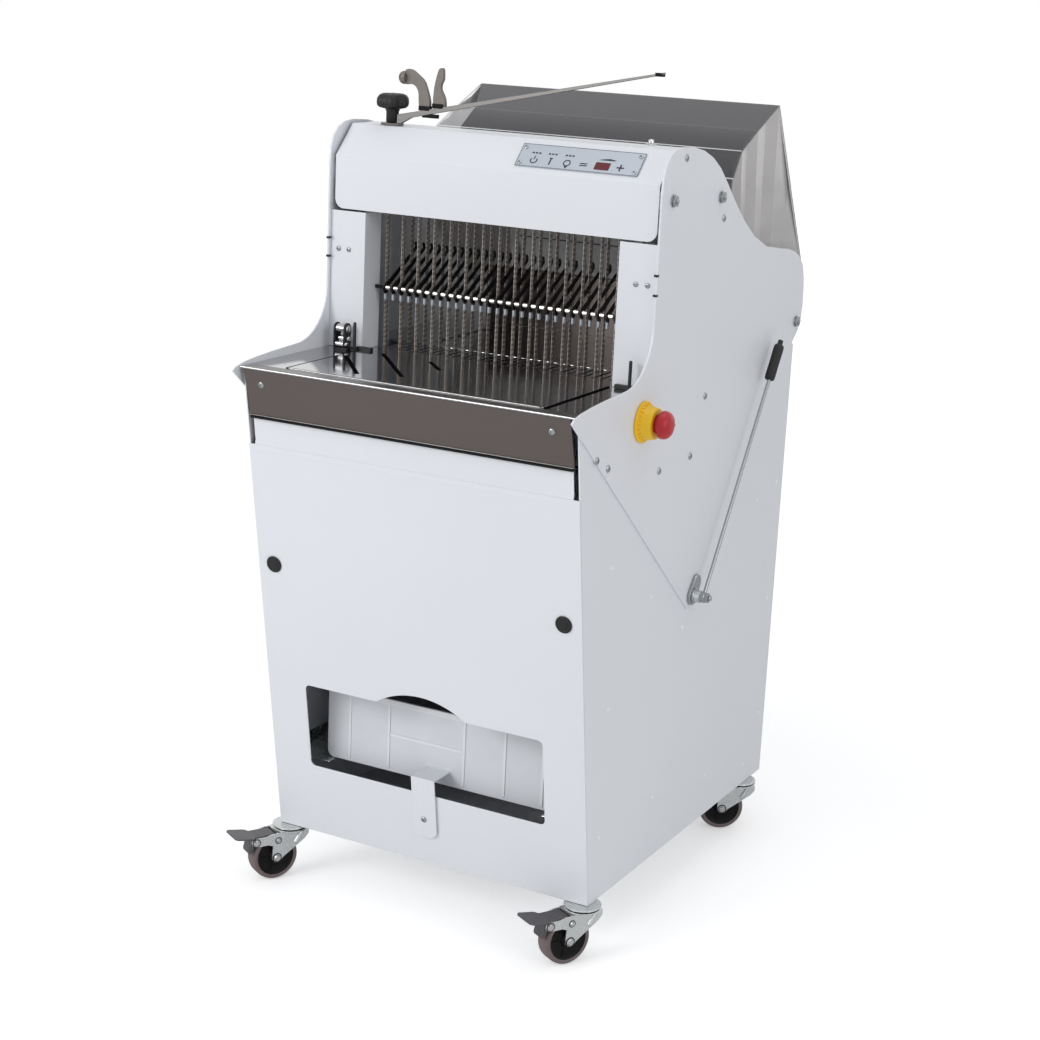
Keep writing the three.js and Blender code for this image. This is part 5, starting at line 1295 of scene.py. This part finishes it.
def inside(line, thickness):
    """Line set off to the right of the walking direction."""
    result = []
    for index, point in enumerate(line):
        before = Vector(line[max(index - 1, 0)])
        after = Vector(line[min(index + 1, len(line) - 1)])
        along = (after - before).normalized()
        result.append((point[0] + along.y * thickness, point[1] - along.x * thickness))
    return result


def share_out(line, count):
    """Points at even distances along a line."""
    lengths = [0]
    for a, b in zip(line, line[1:]):
        lengths.append(lengths[-1] + math.dist(a, b))
    points = []
    for index in range(count):
        target = lengths[-1] * index / (count - 1)
        place = next(i for i in range(1, len(line)) if lengths[i] >= target - 1e-6)
        share = (target - lengths[place - 1]) / (lengths[place] - lengths[place - 1])
        points.append(tuple(Vector(line[place - 1]).lerp(Vector(line[place]), share)))
    return points


class SLICER_OT_cover(bpy.types.Operator):
    """Build the rear cover: smoked top, folded clear sides, and light rods as painted highlights along the top's edges
    and bends
    """

    bl_idname = "slicer.cover"
    bl_label = "Rear cover"

    def execute(self, context):
        lining = inside(CREST, COVER_THICKNESS)
        top, wing = Form(), Form()
        edge = (-COVER_HALF,) * 4
        ends = (*WING_ENDS, 2 - COVER_HALF, *edge)
        for form, left, right in ((top, ends, (COVER_HALF,) * 7), (wing, edge[:3], WING_ENDS)):
            rings = []
            for (y, z), (v, w), start, end in zip(CREST, lining, left, right):
                rings.append([(start, y, z), (end, y, z), (end, v, w), (start, v, w)])
            form.loft(rings)
        top.piece("cover_top", "rear_cover", "smoked", "Smoked", replaces=["rear_cover"])
        wing.piece("cover_wing", "rear_cover", "smoked", "Clear wing")
        corners = inside(CREST[:6], COVER_THICKNESS - 0.2)
        corners[3] = CREST_CORNER
        upper = corners[:1]
        for a, b in zip(corners, corners[1:]):
            upper += [tuple(Vector(a).lerp(Vector(b), 0.5)), b]
        lower = share_out(SKIRT, len(upper))
        sides, rims = Form(), Form()
        for side in SIDES:
            outer, inner = [], []
            for index, (high, low) in enumerate(zip(upper, lower)):
                out = side * (259 if index % 2 else 263.6)
                outer.append([(out, *high), (out, *low)])
                inner.append([(out - side * 1.6, *high), (out - side * 1.6, *low)])
            sides.loft([a + b[::-1] for a, b in zip(outer, inner)])
            across = side * (COVER_HALF - 1)
            # Painted highlights: light rods along the top's side edges.
            for a, b in zip(lining, lining[1:]):
                rims.rod((across, *a), (across, *b), 1, steps=8, chamfer=0.2)
            sides.place = RIGHT_SIDE
            ear = link_outline(HINGE, 15, (HINGE[0], HINGE[1] + 15), 15)
            sides.carry(ear, *sorted((side * 259.4, side * 261.2)), 0.3)
            sides.place = Matrix.Identity(4)
        # Painted highlights: light rods along the top's front edge and its bends.
        half = COVER_HALF - 0.2
        for y, z in CREST[:5]:
            rims.rod((-half, y + 0.3, z - 1.1), (half, y + 0.3, z - 1.1), 1.1, steps=10, chamfer=0.2)
        sides.piece("cover_sides", "rear_cover", "smoked", "Clear sides", sharp=5)
        rims.piece("cover_edge_highlights", "rear_cover", "smoked", "Cover edge highlights")
        return {"FINISHED"}


EYE = (1448.4, -2462.3, 1381.9)
LENS = 70.93
HEADING, DIP, ROLL = 28.17, 14.83, 2.66
# Name, place, diameter, power and the point that it shines at
LAMPS = (
    ("front_lamp", (-1500, -2600, 1900), 1600, 37.5, (0, 200, 500)),
    ("side_lamp", (2600, -600, 1500), 1400, 9.5, (0, 300, 500)),
    ("top_lamp", (300, 300, 3000), 1500, 8, (0, 300, 600)),
)
FLOOR_GLOW, FAR_GLOW = (0.4, 0.4, 0.4, 1), (0.62, 0.62, 0.62, 1)
ROOM_LIGHT, ROOM_SEEN = (0.5, 0.505, 0.515, 1), (1, 1, 1, 1)


class SLICER_OT_stage(bpy.types.Operator):
    """Build the floor, the backdrop light and the camera"""

    bl_idname = "slicer.stage"
    bl_label = "Stage"

    def execute(self, context):
        scene = context.scene
        colour = scene.slicer_colours.floor
        shader = Shader("Pale floor")
        cloud = shader.noise(0.8)
        seen = shader.node("ShaderNodeLightPath", output="Is Camera Ray")
        away = shader.node("ShaderNodeVectorMath", {"operation": "LENGTH"}, {0: shader.place()}, "Value")
        glow = shader.mix(FLOOR_GLOW, FAR_GLOW, away * 0.4 - 0.3)
        shader.finish(
            Base_Color=shader.shade(colour, 0.01, cloud),
            Roughness=cloud.between(0.7, 0.8),
            Emission_Color=shader.mix((0, 0, 0, 1), glow, seen),
            Emission_Strength=1.0,
        )
        data = bpy.data.meshes.new("floor")
        corners = bmesh.new()
        bmesh.ops.create_circle(corners, cap_ends=True, segments=64, radius=12)
        corners.to_mesh(data)
        corners.free()
        data.materials.append(shader.owner)
        floor = new_object("floor", data)
        floor.location.z = -0.0005
        room = Shader("Pale room", bpy.data.worlds)
        bare = room.node("ShaderNodeLightPath", output="Is Camera Ray")
        for ray in ("Is Glossy Ray", "Is Transmission Ray"):
            bare = bare + room.node("ShaderNodeLightPath", output=ray)
        pale = room.mix(ROOM_LIGHT, ROOM_SEEN, bare)
        background = room.node("ShaderNodeBackground", inputs={"Color": pale})
        room.node("ShaderNodeOutputWorld", inputs={"Surface": background})
        scene.world = room.owner
        for name, place, diameter, power, aim in LAMPS:
            light = bpy.data.lights.new(name, "AREA")
            light.shape = "DISK"
            light.size = diameter / 1000
            light.energy = power
            lamp = new_object(name, light)
            lamp.location = DRAWING @ Vector(place)
            lamp.rotation_euler = (Vector(aim) - Vector(place)).to_track_quat("-Z", "Y").to_euler()
        camera_data = bpy.data.cameras.new("camera")
        camera_data.lens = LENS
        camera_data.sensor_width = 36
        camera_data.clip_end = 50
        camera = new_object("camera", camera_data)
        turns = ((HEADING, "Z"), (90 - DIP, "X"), (ROLL, "Z"))
        pose = Matrix.Translation(DRAWING @ Vector(EYE))
        for angle, axis in turns:
            pose = pose @ Matrix.Rotation(math.radians(angle), 4, axis)
        camera.matrix_world = pose
        scene.camera = camera
        scene.view_settings.view_transform = "Standard"
        return {"FINISHED"}


STEPS = (
    SLICER_OT_finishes,
    SLICER_OT_blades,
    SLICER_OT_comb,
    SLICER_OT_fasteners,
    SLICER_OT_controls,
    SLICER_OT_table,
    SLICER_OT_lever,
    SLICER_OT_stop,
    SLICER_OT_front,
    SLICER_OT_drawer,
    SLICER_OT_knob,
    SLICER_OT_casters,
    SLICER_OT_motor,
    SLICER_OT_cover,
    SLICER_OT_stage,
)


class SLICER_PT_panel(bpy.types.Panel):
    """Sizes, colours and steps of the slicer"""

    bl_label = "Bread slicer"
    bl_idname = "SLICER_PT_panel"
    bl_space_type = "VIEW_3D"
    bl_region_type = "UI"
    bl_category = "Slicer"

    def draw(self, context):
        layout = self.layout
        for group in (context.scene.slicer_sizes, context.scene.slicer_colours):
            box = layout.box()
            for name in group.bl_rna.properties.keys():
                if name not in ("rna_type", "name"):
                    box.prop(group, name)
        for step in STEPS:
            layout.operator(step.bl_idname)


CLASSES = (SlicerColours, SlicerSizes, *STEPS, SLICER_PT_panel)


def register():
    for cls in CLASSES:
        bpy.utils.register_class(cls)
    bpy.types.Scene.slicer_colours = PointerProperty(type=SlicerColours)
    bpy.types.Scene.slicer_sizes = PointerProperty(type=SlicerSizes)


def unregister():
    del bpy.types.Scene.slicer_sizes
    del bpy.types.Scene.slicer_colours
    for cls in reversed(CLASSES):
        bpy.utils.unregister_class(cls)


def main():
    register()
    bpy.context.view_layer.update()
    for step in STEPS:
        group, name = step.bl_idname.split(".")
        getattr(getattr(bpy.ops, group), name)()
    bpy.context.view_layer.update()


if __name__ == "__main__":
    main()
